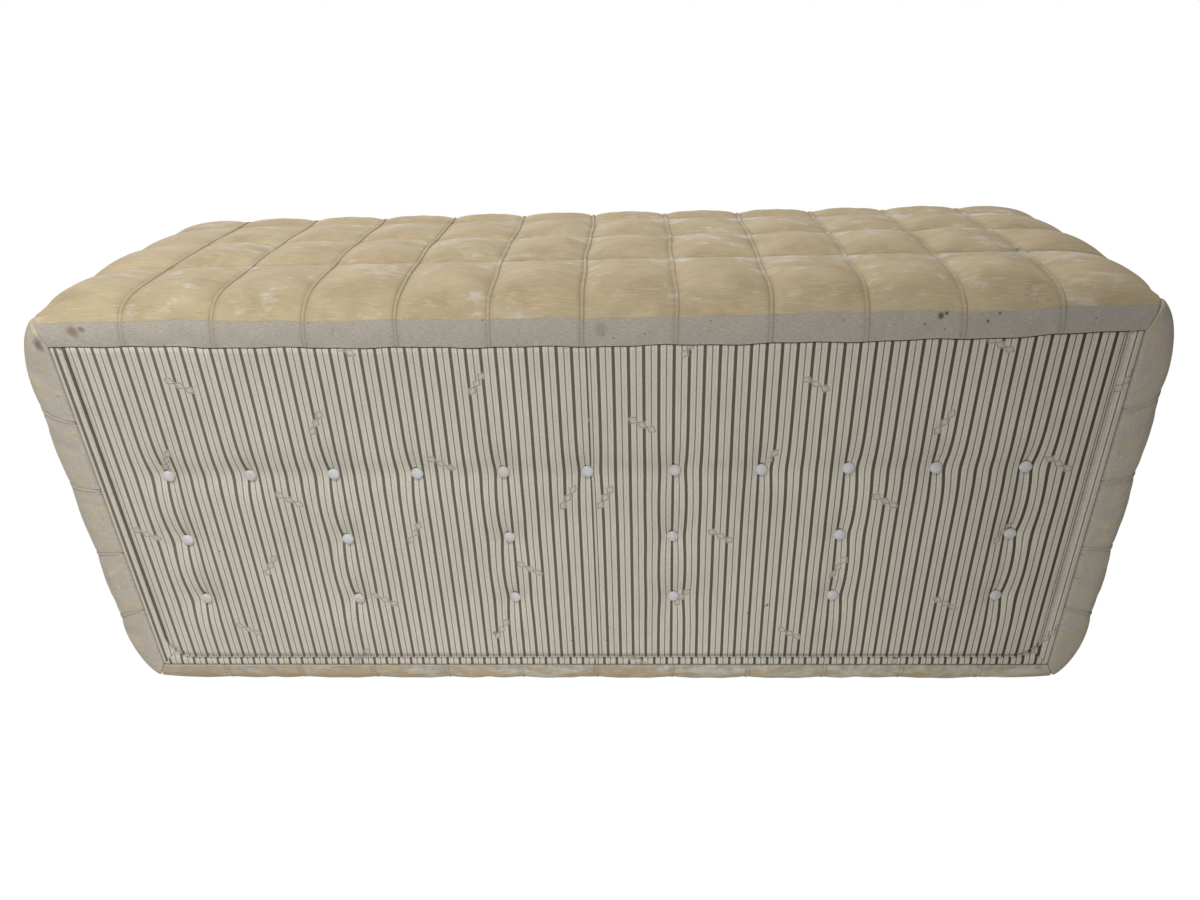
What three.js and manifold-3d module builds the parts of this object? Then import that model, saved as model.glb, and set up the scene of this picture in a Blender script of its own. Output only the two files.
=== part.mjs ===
// A backless divan: a quilted velvet cover over a body of foam, closed underneath by striped
// ticking and tufted right through with twine, which is held by buttons under the base.
// Millimetres, +Z up, origin on the floor under the middle of the base.
// X runs along the length, and the front faces -Y.

import * as THREE from 'three';
import { mergeVertices } from 'three/addons/utils/BufferGeometryUtils.js';
import Module from 'manifold-3d';

// Length of the body, set out in quilted columns
const quilt_pitch = 112;          // column seam to column seam
const column_count = 12;
const edge_column = 96;           // last column before a corner seam
const end_bulge = 34;             // how far an end panel stands past its corner seams
const corner_setback = 28;        // how far the cover is drawn in at a corner seam
const corner_flare = 30;          // how far a corner seam leans out past the ticking

// Section of the body at seam level, front to back
const base_depth = 520;           // ticking, front edge to back edge
const belly_overhang = 50;        // fullest part of a long side, past the ticking
const belly_height = 84;
const shoulder_overhang = 34;     // top of a long side, past the ticking
const shoulder_drop = 52;         // shoulder below the seat edge
const side_lean = 5;              // inward lean of a side just under its shoulder
const seat_edge_inset = 44;       // where the rounded edge has become the seat
const seat_edge_height = 478;
const seat_crown = 10;            // rise of the seat from its edge to its middle

// Quilting
const first_row = 184;            // ticking to first row seam, along the cover
const row_pitch = 119;            // row seam to row seam on a side
const side_rows = 4;
const seat_rows = 4;
const quilt_crown = 12;           // middle of a quilt above its seams
const end_column_pitch = 112;     // column seam to column seam on an end panel
const end_columns = 5;
const cover_thickness = 14;       // velvet, wadding and scrim, where a seam pinches them
const end_pad_inset = 14;         // how far an end pad reaches in past its corner seam

// Rounding of the body into its seams
const corner_round = 90;          // length of a long panel that turns into a corner seam
const end_side_round = 74;        // width of an end panel that turns into a corner seam
const end_base_round = 36;        // height over which an end panel leaves the ticking
const end_top_round = 112;        // height over which an end panel turns into the seat seam

// Tufting
const tuft_row_offset = -73;      // first row of buttons from the centre line
const tuft_row_pitch = 104;
const full_tuft_rows = 1;         // rows with a button at each column, the others skip one
const tuft_pull = 8;              // depth that a twine draws the seat in
const tuft_reach = 48;            // radius over which the seat is drawn in

// Ticking under the base
const ticking_thickness = 3;
const ticking_edge_fold = 1;      // rounded edge where two pieces of ticking are seamed
const border_width = 16;          // strip outside the welted seam
const welt_corner_radius = 38;
const dimple_depth = 9;
const dimple_mouth_radius = 36;
const dimple_throat_radius = 14;

// Buttons and twine
const button_diameter = 16.5;
const button_thickness = 4.5;
const button_rim = 1.6;           // thickness of a button at its edge
const shank_radius = 2.2;
const shank_length = 4.6;
const shank_hole_clearance = 0.8; // round the shank, in the ticking
const twine_radius = 1.2;
const knot_radius = 3.2;
const knot_height = 4;
const needle_bore_clearance = 1;  // round the knot, along a twine's path through the foam

// Foam slabs, from the base up
const base_foam_height = 82;
const top_foam_thickness = 72;    // under the middle of the seat

// Fits
const seat_gap = 0.3;             // between pieces that rest on each other
const overrun = 12;               // how far a cutting solid runs past what it cuts

// Shapes, as shares of the sizes above
const cell_shares = [0, 0.2, 0.5, 0.8];
const backing_shares = [0, 0.5];
const under_wrap_share = 0.8;
const under_turn_share = 0.3;
const side_share = 0.36;
const turn_rise_share = 0.6;
const turn_run_share = 0.5;
const crown_run_share = 0.5;
const setback_fade_share = 0.6;   // of the belly height, where a corner's setback fades in
const flare_rise_share = 0.5;     // of the first row, where a corner seam's lean is complete
const end_corner_share = 0.5;     // of the rounded edge, where an end panel's corner lies
const narrowest_row_share = 0.33; // of a row, left at the top of an end panel
const dome_share = 0.62;          // of a button's radius
const dome_drop_share = 0.3;      // of a button's dome, at that radius
const pillow_power = 2.6;
const round_power = 2.2;
const end_round_power = 1.8;
const button_sides = 8;
const twine_sides = 4;
const bore_sides = 5;
const dimple_sides = 8;
const welt_corner_steps = 4;

// Places that follow from the sizes
const half_depth = base_depth / 2;
const half_gap = seat_gap / 2;
const middle_columns = column_count - 2;
const corner_seam_x = middle_columns / 2 * quilt_pitch + edge_column;
const pad_seam_x = corner_seam_x - end_pad_inset;
const shoulder_height = seat_edge_height - shoulder_drop;
const tuft_rows = seat_rows - 1;
const shank_hole_radius = shank_radius + shank_hole_clearance;
const needle_bore_radius = knot_radius + needle_bore_clearance;

const wasm = await Module();
wasm.setup();

// Solids and meshes

function solidFrom(geometry) {
  const bare = geometry.index ? geometry.toNonIndexed() : geometry.clone();
  bare.deleteAttribute('normal');
  bare.deleteAttribute('uv');
  const merged = mergeVertices(bare);
  return new wasm.Manifold(new wasm.Mesh({
    numProp: 3,
    vertProperties: merged.attributes.position.array,
    triVerts: new Uint32Array(merged.index.array),
  }));
}

function geometryFrom(solid) {
  const { vertProperties, triVerts } = solid.getMesh();
  const geometry = new THREE.BufferGeometry();
  geometry.setAttribute('position', new THREE.BufferAttribute(vertProperties, 3));
  geometry.setIndex(new THREE.BufferAttribute(triVerts, 1));
  const faceted = geometry.toNonIndexed();
  faceted.computeVertexNormals();
  return faceted;
}

// A closed geometry from its points and triangles, turned so that its faces point outwards.
function closedGeometry(points, triangles) {
  const volume = triangles.reduce((sum, [a, b, c]) => sum
    + points[a].dot(new THREE.Vector3().crossVectors(points[b], points[c])), 0);
  const facing = volume < 0 ? triangles.map(([a, b, c]) => [a, c, b]) : triangles;
  const geometry = new THREE.BufferGeometry().setFromPoints(points);
  geometry.setIndex(facing.flat());
  const faceted = geometry.toNonIndexed();
  faceted.computeVertexNormals();
  return faceted;
}

// A grid of points over two lists of stations, with the number of each point kept.
function gridOf(points, acrossStations, alongStations, place) {
  const numbers = acrossStations.map((across) => alongStations.map((along) => {
    points.push(place(across, along));
    return points.length - 1;
  }));
  return { numbers, acrossStations, alongStations };
}

function gridTriangles({ numbers }) {
  const triangles = [];
  for (let i = 0; i < numbers.length - 1; i++) {
    for (let j = 0; j < numbers[i].length - 1; j++) {
      triangles.push([numbers[i][j], numbers[i + 1][j], numbers[i + 1][j + 1]]);
      triangles.push([numbers[i][j], numbers[i + 1][j + 1], numbers[i][j + 1]]);
    }
  }
  return triangles;
}

// The edge of a grid as one loop, each point with how far round it lies, in sides.
function gridEdge({ numbers, acrossStations, alongStations }) {
  const progress = (stations, k) =>
    (stations[k].at - stations[0].at) / (stations.at(-1).at - stations[0].at);
  const lastAcross = acrossStations.length - 1;
  const lastAlong = alongStations.length - 1;
  const edge = [];
  for (let i = 0; i < lastAcross; i++) {
    edge.push({ number: numbers[i][0], round: progress(acrossStations, i) });
  }
  for (let j = 0; j < lastAlong; j++) {
    edge.push({ number: numbers[lastAcross][j], round: 1 + progress(alongStations, j) });
  }
  for (let i = lastAcross; i > 0; i--) {
    edge.push({ number: numbers[i][lastAlong], round: 3 - progress(acrossStations, i) });
  }
  for (let j = lastAlong; j > 0; j--) {
    edge.push({ number: numbers[0][j], round: 4 - progress(alongStations, j) });
  }
  edge.push({ number: numbers[0][0], round: 4 });
  return edge;
}

// The band of triangles that joins the edges of a face and its backing. It goes by the middles of
// their steps, so two bands that meet along a seam are the same whichever way each is run.
function edgeBand(face, backing) {
  const triangles = [];
  const middle = (edge, k) => (k < edge.length - 1 ? (edge[k].round + edge[k + 1].round) / 2 : Infinity);
  let i = 0;
  let j = 0;
  while (i < face.length - 1 || j < backing.length - 1) {
    if (middle(face, i) <= middle(backing, j)) {
      triangles.push([face[i + 1].number, face[i].number, backing[j].number]);
      i += 1;
    } else {
      triangles.push([backing[j].number, backing[j + 1].number, face[i].number]);
      j += 1;
    }
  }
  return triangles;
}

const turnedOver = ([a, b, c]) => [a, c, b];

// A padded sheet: a face and a backing, each a grid with stations of its own.
function paddedSheet(faceStations, backingStations, facePlace, backingPlace) {
  const points = [];
  const face = gridOf(points, ...faceStations, facePlace);
  const backing = gridOf(points, ...backingStations, backingPlace);
  return closedGeometry(points, [
    ...gridTriangles(face),
    ...gridTriangles(backing).map(turnedOver),
    ...edgeBand(gridEdge(face), gridEdge(backing)),
  ]);
}

// Triangles inside a loop of points that lies in a plane across X.
function loopTriangles(points, loop) {
  const outline = loop.map((number) => new THREE.Vector2(points[number].y, points[number].z));
  const turned = THREE.ShapeUtils.isClockWise(outline);
  const triangles = THREE.ShapeUtils.triangulateShape(outline, [])
    .map((triangle) => triangle.map((corner) => loop[corner]));
  return turned ? triangles.map(turnedOver) : triangles;
}

function boxSolid(min, max) {
  const size = new THREE.Vector3().subVectors(max, min);
  const box = new THREE.BoxGeometry(size.x, size.y, size.z);
  const middle = new THREE.Vector3().addVectors(min, max).divideScalar(2);
  return solidFrom(box.translate(middle.x, middle.y, middle.z));
}

// A round bar whose rings stay level while its axis slants from one point to another.
function slantedBar(rings, foot, head, sides) {
  const profile = [
    new THREE.Vector2(0, rings[0].z),
    ...rings.map(({ z, radius }) => new THREE.Vector2(radius, z)),
    new THREE.Vector2(0, rings.at(-1).z),
  ];
  const bar = new THREE.LatheGeometry(profile, sides).rotateX(Math.PI / 2);
  const position = bar.attributes.position;
  for (let k = 0; k < position.count; k++) {
    const share = (position.getZ(k) - foot.z) / (head.z - foot.z);
    position.setX(k, position.getX(k) + THREE.MathUtils.lerp(foot.x, head.x, share));
    position.setY(k, position.getY(k) + THREE.MathUtils.lerp(foot.y, head.y, share));
  }
  return bar;
}

// Stations along a quilted line

const pillow = (share) => 1 - Math.abs(2 * share - 1) ** pillow_power;

// Stations over the seams given, each with its place and how full the quilt is there.
// The first and last give up half a gap to the panel next to them.
function quiltStations(seams, shares) {
  const stations = [];
  for (let k = 0; k < seams.length - 1; k++) {
    const fullness = Math.min(1, (seams[k + 1] - seams[k]) / quilt_pitch);
    for (const share of shares(k, seams.length - 2)) {
      const at = THREE.MathUtils.lerp(seams[k], seams[k + 1], share);
      stations.push({ at, pillow: fullness * pillow(share) });
    }
  }
  stations.push({ at: seams.at(-1), pillow: 0 });
  stations[0].at += half_gap;
  stations.at(-1).at -= half_gap;
  return stations;
}

const everyCell = () => cell_shares;
const everyHalf = () => backing_shares;
const cellsAtEnds = (k, last) => (k === 0 || k === last ? cell_shares : [0]);
const halvesThenCells = (k, last) => (k === 0 ? backing_shares : cellsAtEnds(k, last));

// The cover at seam level

function frontProfile() {
  const belly = half_depth + belly_overhang;
  const shoulder = half_depth + shoulder_overhang;
  const seat_edge = half_depth - seat_edge_inset;
  const side_rise = shoulder_height - belly_height;
  const turn_rise = seat_edge_height - shoulder_height;
  const turn_run = shoulder - seat_edge;
  const path = new THREE.Path();
  path.moveTo(half_depth, 0);
  path.bezierCurveTo(
    half_depth + under_wrap_share * belly_overhang, 0,
    belly, under_turn_share * belly_height,
    belly, belly_height,
  );
  path.bezierCurveTo(
    belly, belly_height + side_share * side_rise,
    shoulder + side_lean, shoulder_height - side_share * side_rise,
    shoulder, shoulder_height,
  );
  path.bezierCurveTo(
    shoulder - side_lean, shoulder_height + turn_rise_share * turn_rise,
    seat_edge + turn_run_share * turn_run, seat_edge_height,
    seat_edge, seat_edge_height,
  );
  path.bezierCurveTo(
    seat_edge - crown_run_share * seat_edge, seat_edge_height + seat_crown,
    crown_run_share * seat_edge, seat_edge_height + seat_crown,
    0, seat_edge_height + seat_crown,
  );
  return path;
}

const profile = frontProfile();
const profile_lengths = profile.getCurveLengths();
const half_girth = profile_lengths.at(-1);
const shoulder_girth = profile_lengths[1];
const seat_edge_girth = profile_lengths[2];

// Share of a rounding that is left at a distance from the seam it turns into.
function rounded(distance, length, power = round_power) {
  const share = THREE.MathUtils.clamp(distance / length, 0, 1);
  return (1 - (1 - share) ** power) ** (1 / power);
}

function setbackAt(x) {
  return corner_setback * (1 - rounded(corner_seam_x - Math.abs(x), corner_round));
}

// How far out a corner seam leans at a place round the section.
function flareAt(girth) {
  const rise = Math.min(girth, 2 * half_girth - girth) / (flare_rise_share * first_row);
  return corner_flare * Math.min(1, rise);
}

// The last column of a long panel takes up all of the lean.
function flaredX(x, girth) {
  const share = Math.max(0, 1 - (corner_seam_x - Math.abs(x)) / edge_column);
  return x + Math.sign(x) * share * flareAt(girth);
}

// A point of the section: how far round from the front ticking edge, and how far inside the cover.
function sectionPoint(girth, setback, depth) {
  const behind = girth > half_girth;
  const share = THREE.MathUtils.clamp((behind ? 2 * half_girth - girth : girth) / half_girth, 0, 1);
  const { x: forward, y: height } = profile.getPoint(share);
  const tangent = profile.getTangent(share);
  const fade = THREE.MathUtils.smoothstep(height, 0, setback_fade_share * belly_height);
  const inward = depth + setback * fade;
  const y = forward - inward * tangent.y;
  const z = height + inward * tangent.x;
  return new THREE.Vector2(behind ? y : -y, z);
}

// Seams

const column_seams = [
  -corner_seam_x,
  ...Array.from({ length: middle_columns + 1 }, (_, k) => (k - middle_columns / 2) * quilt_pitch),
  corner_seam_x,
];
const front_row_seams = [
  0,
  ...Array.from({ length: side_rows }, (_, k) => first_row + k * row_pitch),
];
const seat_start_girth = front_row_seams.at(-1);
const seat_row_pitch = 2 * (half_girth - seat_start_girth) / seat_rows;
const seat_row_seams = Array.from({ length: seat_rows + 1 }, (_, k) =>
  seat_start_girth + k * seat_row_pitch);
const back_row_seams = front_row_seams.map((girth) => 2 * half_girth - girth).reverse();

// Tufts: where each twine starts under the base and where it holds the seat

function tuftPlaces() {
  const places = [];
  for (let row = 0; row < tuft_rows; row++) {
    const step = row < full_tuft_rows ? 1 : 2;
    const count = Math.floor(middle_columns / step) + 1;
    const outermost = (count - 1) / 2 * step;
    for (let k = 0; k < count; k++) {
      places.push({
        name: `${row + 1}_${k + 1}`,
        x: (k * step - outermost) * quilt_pitch,
        y: tuft_row_offset + row * tuft_row_pitch,
        girth: seat_row_seams[row + 1],
      });
    }
  }
  return places;
}

const tufts = tuftPlaces();

// How far the seat is drawn down at a point of it.
function tuftPullAt(x, girth) {
  const nearest = Math.min(...tufts.map((tuft) => Math.hypot(tuft.x - x, tuft.girth - girth)));
  return tuft_pull * Math.max(0, 1 - nearest / tuft_reach) ** 2;
}

// The cover over the front, seat and back

function coverPoint(x, girth, depth) {
  const { x: y, y: z } = sectionPoint(girth, setbackAt(x), depth);
  return new THREE.Vector3(flaredX(x, girth), y, z - tuftPullAt(x, girth));
}

// A quilt's height over its seams, which falls away where the cover turns under the base.
function quiltHeight(column, row, z) {
  const rise = THREE.MathUtils.smoothstep(z, 0, setback_fade_share * belly_height);
  return quilt_crown * column.pillow * row.pillow * rise;
}

function longPanel(row_seams) {
  return paddedSheet(
    [quiltStations(column_seams, everyCell), quiltStations(row_seams, everyCell)],
    [quiltStations(column_seams, cellsAtEnds), quiltStations(row_seams, everyHalf)],
    (column, row) => {
      const { z } = coverPoint(column.at, row.at, 0);
      return coverPoint(column.at, row.at, -quiltHeight(column, row, z));
    },
    (column, row) => coverPoint(column.at, row.at, cover_thickness),
  );
}

// The end panels: a patch over the closed end of the section

const end_width = 2 * (half_depth + belly_overhang - corner_setback);
const end_corner_girth = THREE.MathUtils.lerp(shoulder_girth, seat_edge_girth, end_corner_share);

// A point of the patch: how far across from the front, and how far up from the ticking.
function endOutline(across, up, depth) {
  const across_share = across / end_width;
  const up_share = up / end_corner_girth;
  const front = (girth) => sectionPoint(girth, corner_setback, depth);
  const mirrored = ({ x, y }) => new THREE.Vector2(-x, y);
  const foot = front(0);
  const head = front(end_corner_girth);
  const far_girth = 2 * half_girth - end_corner_girth;
  const top_girth = THREE.MathUtils.lerp(end_corner_girth, far_girth, across_share);
  const bottom = foot.clone().lerp(mirrored(foot), across_share);
  const sides = front(up).lerp(mirrored(front(up)), across_share);
  const ends = bottom.clone().lerp(front(top_girth), up_share);
  const corners = bottom.clone().lerp(head.clone().lerp(mirrored(head), across_share), up_share);
  return sides.add(ends).sub(corners);
}

function endPoint(across, up, depth, bulge) {
  const { x: y, y: z } = endOutline(across, up, depth);
  const fullness = rounded(Math.min(across, end_width - across), end_side_round, end_round_power)
    * rounded(up, end_base_round, end_round_power)
    * rounded(end_corner_girth - up, end_top_round, end_round_power);
  return new THREE.Vector3(corner_seam_x + half_gap + flareAt(up) + bulge * fullness, y, z);
}

// Stations across and up an end panel, which reach right to its own edges.
function endStations(column_shares, row_shares) {
  const first = (end_width - (end_columns - 2) * end_column_pitch) / 2;
  const columns = Array.from({ length: end_columns - 1 }, (_, k) => first + k * end_column_pitch);
  const rows = front_row_seams.filter((girth) => girth + narrowest_row_share * row_pitch < end_corner_girth);
  const toEdges = (seams, shares) => {
    const stations = quiltStations(seams, shares);
    stations[0].at = seams[0];
    stations.at(-1).at = seams.at(-1);
    return stations;
  };
  return [
    toEdges([0, ...columns, end_width], column_shares),
    toEdges([...rows, end_corner_girth], row_shares),
  ];
}

const end_face_stations = endStations(everyCell, everyCell);
const end_backing_stations = endStations(cellsAtEnds, halvesThenCells);

function rightEndPanel() {
  return paddedSheet(
    end_face_stations,
    end_backing_stations,
    (column, row) => {
      const point = endPoint(column.at, row.at, 0, end_bulge);
      return point.setX(point.x + quiltHeight(column, row, point.z));
    },
    (column, row) => endPoint(column.at, row.at, cover_thickness, end_bulge - cover_thickness),
  );
}

const mirroredInX = (geometry) => {
  const points = geometry.clone().scale(-1, 1, 1).attributes.position;
  const corners = Array.from({ length: points.count }, (_, k) =>
    new THREE.Vector3().fromBufferAttribute(points, k));
  const triangles = Array.from({ length: points.count / 3 }, (_, k) => [3 * k, 3 * k + 1, 3 * k + 2]);
  return closedGeometry(corners, triangles);
};

// The foam body, shaped as the inside of the cover and cut into slabs

function foamRing(x) {
  const depth = cover_thickness + seat_gap;
  const girths = [front_row_seams, seat_row_seams, back_row_seams]
    .flatMap((seams) => quiltStations(seams, everyHalf).slice(0, -1))
    .map(({ at }) => at);
  girths.push(2 * half_girth - half_gap);
  const floor = ticking_thickness + seat_gap;
  const edge = half_depth - seat_gap;
  const ring = girths.map((girth) => coverPoint(x, girth, depth));
  ring[0].setY(-edge);
  ring.at(-1).setY(edge);
  return [...ring, new THREE.Vector3(x, edge, floor), new THREE.Vector3(x, -edge, floor)];
}

function foamBody() {
  const columns = quiltStations(column_seams, cellsAtEnds);
  const points = [];
  const rings = columns.map(({ at }) => foamRing(at).map((point) => {
    points.push(point);
    return points.length - 1;
  }));
  const closed = rings.map((ring) => [...ring, ring[0]]);
  const triangles = [
    ...gridTriangles({ numbers: closed }),
    ...loopTriangles(points, rings[0]),
    ...loopTriangles(points, rings.at(-1)).map(turnedOver),
  ];
  return solidFrom(closedGeometry(points, triangles));
}

const body_solid = foamBody();

// Wadding that fills an end panel: the end of the body, and a dome on it that fills out the panel.
function rightDome() {
  const points = [];
  const depth = cover_thickness + seat_gap;
  const face = gridOf(points, ...end_backing_stations, (column, row) =>
    endPoint(column.at, row.at, depth, end_bulge - depth));
  const rim = gridEdge(face).slice(0, -1).map(({ number }) => number);
  const foot = rim.map((number) => {
    points.push(points[number].clone().setX(pad_seam_x + half_gap));
    return points.length - 1;
  });
  const around = (loop) => [...loop, loop[0]];
  return closedGeometry(points, [
    ...gridTriangles(face),
    ...gridTriangles({ numbers: [around(foot), around(rim)] }).map(turnedOver),
    ...loopTriangles(points, foot).map(turnedOver),
  ]);
}

// What lies between two distances from the middle, at one end, and above a height.
function endBox(side, near, far, bottom) {
  const reach = half_depth + belly_overhang + overrun;
  const [from, to] = side > 0 ? [near, far] : [-far, -near];
  return boxSolid(
    new THREE.Vector3(from, -reach, bottom),
    new THREE.Vector3(to, reach, seat_edge_height + seat_crown),
  );
}

function endPad(side) {
  const near = pad_seam_x + half_gap;
  const over_base = endBox(side, near, corner_seam_x - half_gap, 0);
  const past_base = endBox(side, near, corner_seam_x + corner_flare + overrun, 2 * cover_thickness);
  const dome = side > 0 ? rightDome() : mirroredInX(rightDome());
  return geometryFrom(body_solid.intersect(over_base.add(past_base)).add(solidFrom(dome)));
}

// Twine: from the shank of its button to its knot under the seat cover

const shank_top = dimple_depth - seat_gap + shank_length;

function tuftHead(tuft) {
  const head = coverPoint(tuft.x, tuft.girth, cover_thickness);
  return head.setZ(head.z - seat_gap);
}

function twineGeometry(tuft) {
  const foot = new THREE.Vector3(tuft.x, tuft.y, shank_top + seat_gap);
  const head = tuftHead(tuft);
  const rings = [
    { z: foot.z, radius: twine_radius },
    { z: head.z - knot_height, radius: twine_radius },
    { z: head.z - knot_height / 2, radius: knot_radius },
    { z: head.z, radius: knot_radius },
  ];
  return slantedBar(rings, foot, head, twine_sides);
}

function boreSolid(tuft) {
  const foot = new THREE.Vector3(tuft.x, tuft.y, shank_top + seat_gap);
  const head = tuftHead(tuft);
  const rings = [
    { z: -overrun, radius: needle_bore_radius },
    { z: head.z + overrun, radius: needle_bore_radius },
  ];
  return solidFrom(slantedBar(rings, foot, head, bore_sides));
}

// A dimple in the ticking, as the round solid that fills it up to a height above the cloth.
function dimpleSolid(tuft, thickness) {
  const slope = (dimple_mouth_radius - dimple_throat_radius) / dimple_depth;
  const rings = [
    { z: -overrun, radius: dimple_mouth_radius + slope * (overrun + thickness) },
    { z: dimple_depth + thickness, radius: dimple_throat_radius },
  ];
  const foot = new THREE.Vector3(tuft.x, tuft.y, 0);
  const head = new THREE.Vector3(tuft.x, tuft.y, dimple_depth);
  return solidFrom(slantedBar(rings, foot, head, dimple_sides));
}

function foamSlab(body, bottom, top) {
  const reach = pad_seam_x - half_gap;
  const side = half_depth + belly_overhang + overrun;
  return body.intersect(boxSolid(
    new THREE.Vector3(-reach, -side, bottom),
    new THREE.Vector3(reach, side, top),
  ));
}

function foamSlabs() {
  const cuts = [
    ...tufts.map(boreSolid),
    ...tufts.map((tuft) => dimpleSolid(tuft, ticking_thickness + seat_gap)),
  ];
  const body = cuts.reduce((solid, cut) => solid.subtract(cut), body_solid);
  const top_foam_height = seat_edge_height + seat_crown - cover_thickness - top_foam_thickness;
  return {
    base_foam: foamSlab(body, 0, base_foam_height - half_gap),
    core_foam: foamSlab(body, base_foam_height + half_gap, top_foam_height - half_gap),
    top_foam: foamSlab(body, top_foam_height + half_gap, seat_edge_height + seat_crown),
  };
}

// Ticking under the base

function foldedSheet(outline) {
  const sheet = new THREE.ExtrudeGeometry(outline, {
    depth: ticking_thickness - 2 * ticking_edge_fold,
    bevelThickness: ticking_edge_fold,
    bevelSize: ticking_edge_fold,
    bevelOffset: -ticking_edge_fold,
    bevelSegments: 1,
    curveSegments: welt_corner_steps,
  });
  return sheet.translate(0, 0, ticking_edge_fold);
}

// The line of the welted seam, between the main piece of ticking and its border.
const welt_x = corner_seam_x - seat_gap - border_width;
const welt_y = half_depth - seat_gap - border_width;

function baseTickingSolid() {
  const x = welt_x - half_gap;
  const back = welt_y - half_gap;
  const front = -half_depth + seat_gap;
  const radius = welt_corner_radius - half_gap;
  const outline = new THREE.Shape();
  outline.moveTo(-x, front);
  outline.lineTo(x, front);
  outline.lineTo(x, back - radius);
  outline.absarc(x - radius, back - radius, radius, 0, Math.PI / 2, false);
  outline.lineTo(-x + radius, back);
  outline.absarc(-x + radius, back - radius, radius, Math.PI / 2, Math.PI, false);
  outline.lineTo(-x, front);
  const shells = tufts.map(dimpleShell);
  const cuts = [...tufts.map((tuft) => dimpleSolid(tuft, 0)), ...tufts.map(shankHole)];
  const sheet = shells.reduce((cloth, shell) => cloth.add(shell), solidFrom(foldedSheet(outline)));
  return cuts.reduce((cloth, cut) => cloth.subtract(cut), sheet);
}

// The raised side of a dimple, above the level of the ticking.
function dimpleShell(tuft) {
  const reach = dimple_mouth_radius + overrun;
  const above = boxSolid(
    new THREE.Vector3(tuft.x - reach, tuft.y - reach, ticking_thickness / 2),
    new THREE.Vector3(tuft.x + reach, tuft.y + reach, dimple_depth + ticking_thickness + overrun),
  );
  return dimpleSolid(tuft, ticking_thickness).intersect(above);
}

function shankHole(tuft) {
  const rings = [
    { z: -overrun, radius: shank_hole_radius },
    { z: dimple_depth + ticking_thickness + overrun, radius: shank_hole_radius },
  ];
  const foot = new THREE.Vector3(tuft.x, tuft.y, 0);
  const head = new THREE.Vector3(tuft.x, tuft.y, dimple_depth);
  return solidFrom(slantedBar(rings, foot, head, bore_sides));
}

// The border strips meet in a mitre that runs from the outer corner to the middle of the rounded
// welt. The strips keep their gap there by stopping short of it, each along its own length.
const mitre_angle = Math.PI / 4;
const border_inner_radius = welt_corner_radius + half_gap;
const border_outer_x = corner_seam_x - seat_gap;
const border_outer_y = half_depth - seat_gap;
const welt_centre_x = welt_x - welt_corner_radius;
const welt_centre_y = welt_y - welt_corner_radius;

function rightBorderGeometry() {
  const inner_x = welt_x + half_gap;
  const outline = new THREE.Shape();
  outline.moveTo(inner_x, -border_outer_y);
  outline.lineTo(border_outer_x, -border_outer_y);
  outline.lineTo(border_outer_x, border_outer_y - seat_gap);
  outline.absarc(welt_centre_x, welt_centre_y - seat_gap, border_inner_radius, mitre_angle, 0, true);
  outline.lineTo(inner_x, -border_outer_y);
  return foldedSheet(outline);
}

function backBorderGeometry() {
  const centre_x = welt_centre_x - seat_gap;
  const outer_x = border_outer_x - seat_gap;
  const top = Math.PI / 2;
  const outline = new THREE.Shape();
  outline.moveTo(-outer_x, border_outer_y);
  outline.absarc(-centre_x, welt_centre_y, border_inner_radius, Math.PI - mitre_angle, top, true);
  outline.absarc(centre_x, welt_centre_y, border_inner_radius, top, mitre_angle, true);
  outline.lineTo(outer_x, border_outer_y);
  outline.lineTo(-outer_x, border_outer_y);
  return foldedSheet(outline);
}

// A button, with the shank that its twine is tied to.
function buttonGeometry() {
  const radius = button_diameter / 2;
  const top = dimple_depth - seat_gap;
  const bottom = top - button_thickness;
  const dome = button_thickness - button_rim;
  const outline = [
    new THREE.Vector2(0, bottom),
    new THREE.Vector2(radius * dome_share, bottom + dome * dome_drop_share),
    new THREE.Vector2(radius, bottom + dome),
    new THREE.Vector2(radius, top),
    new THREE.Vector2(shank_radius, top),
    new THREE.Vector2(shank_radius, shank_top),
    new THREE.Vector2(0, shank_top),
  ];
  return new THREE.LatheGeometry(outline, button_sides).rotateX(Math.PI / 2);
}

// Assembly

const cloth = (color, roughness) => new THREE.MeshStandardMaterial({ color, roughness, metalness: 0 });
const velvet = cloth('#c9b690', 0.9);
const ticking = cloth('#c6c0b2', 0.95);
const foam = cloth('#e8dfc4', 1);
const wadding = cloth('#efece4', 1);
const button_shell = cloth('#dadce0', 0.35);
const twine = cloth('#d8ceb4', 0.8);

const divan = new THREE.Group();

function place(parent, name, geometry, material) {
  const mesh = new THREE.Mesh(geometry, material);
  mesh.name = name;
  parent.add(mesh);
  return mesh;
}

place(divan, 'front_panel', longPanel(front_row_seams), velvet);
place(divan, 'seat_panel', longPanel(seat_row_seams), velvet);
place(divan, 'back_panel', longPanel(back_row_seams), velvet);
place(divan, 'right_end_panel', rightEndPanel(), velvet);
place(divan, 'left_end_panel', mirroredInX(rightEndPanel()), velvet);
place(divan, 'right_end_pad', endPad(1), wadding);
place(divan, 'left_end_pad', endPad(-1), wadding);

for (const [name, slab] of Object.entries(foamSlabs())) {
  place(divan, name, geometryFrom(slab), foam);
}

place(divan, 'base_ticking', geometryFrom(baseTickingSolid()), ticking);
place(divan, 'border_right', rightBorderGeometry(), ticking);
place(divan, 'border_left', mirroredInX(rightBorderGeometry()), ticking);
place(divan, 'border_back', backBorderGeometry(), ticking);

for (const tuft of tufts) {
  const button = place(divan, `button_${tuft.name}`, buttonGeometry(), button_shell);
  button.position.set(tuft.x, tuft.y, 0);
  place(divan, `twine_${tuft.name}`, twineGeometry(tuft), twine);
}

export default divan;
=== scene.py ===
# A backless divan, seen from below: a body of foam under a quilted velvet cover, closed by striped
# ticking and tufted right through with twine, which buttons hold under the base.
# Metres, in the frame of the model: X along the length, front towards -Y, the floor at Z = 0.

import math
from functools import partial

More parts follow.
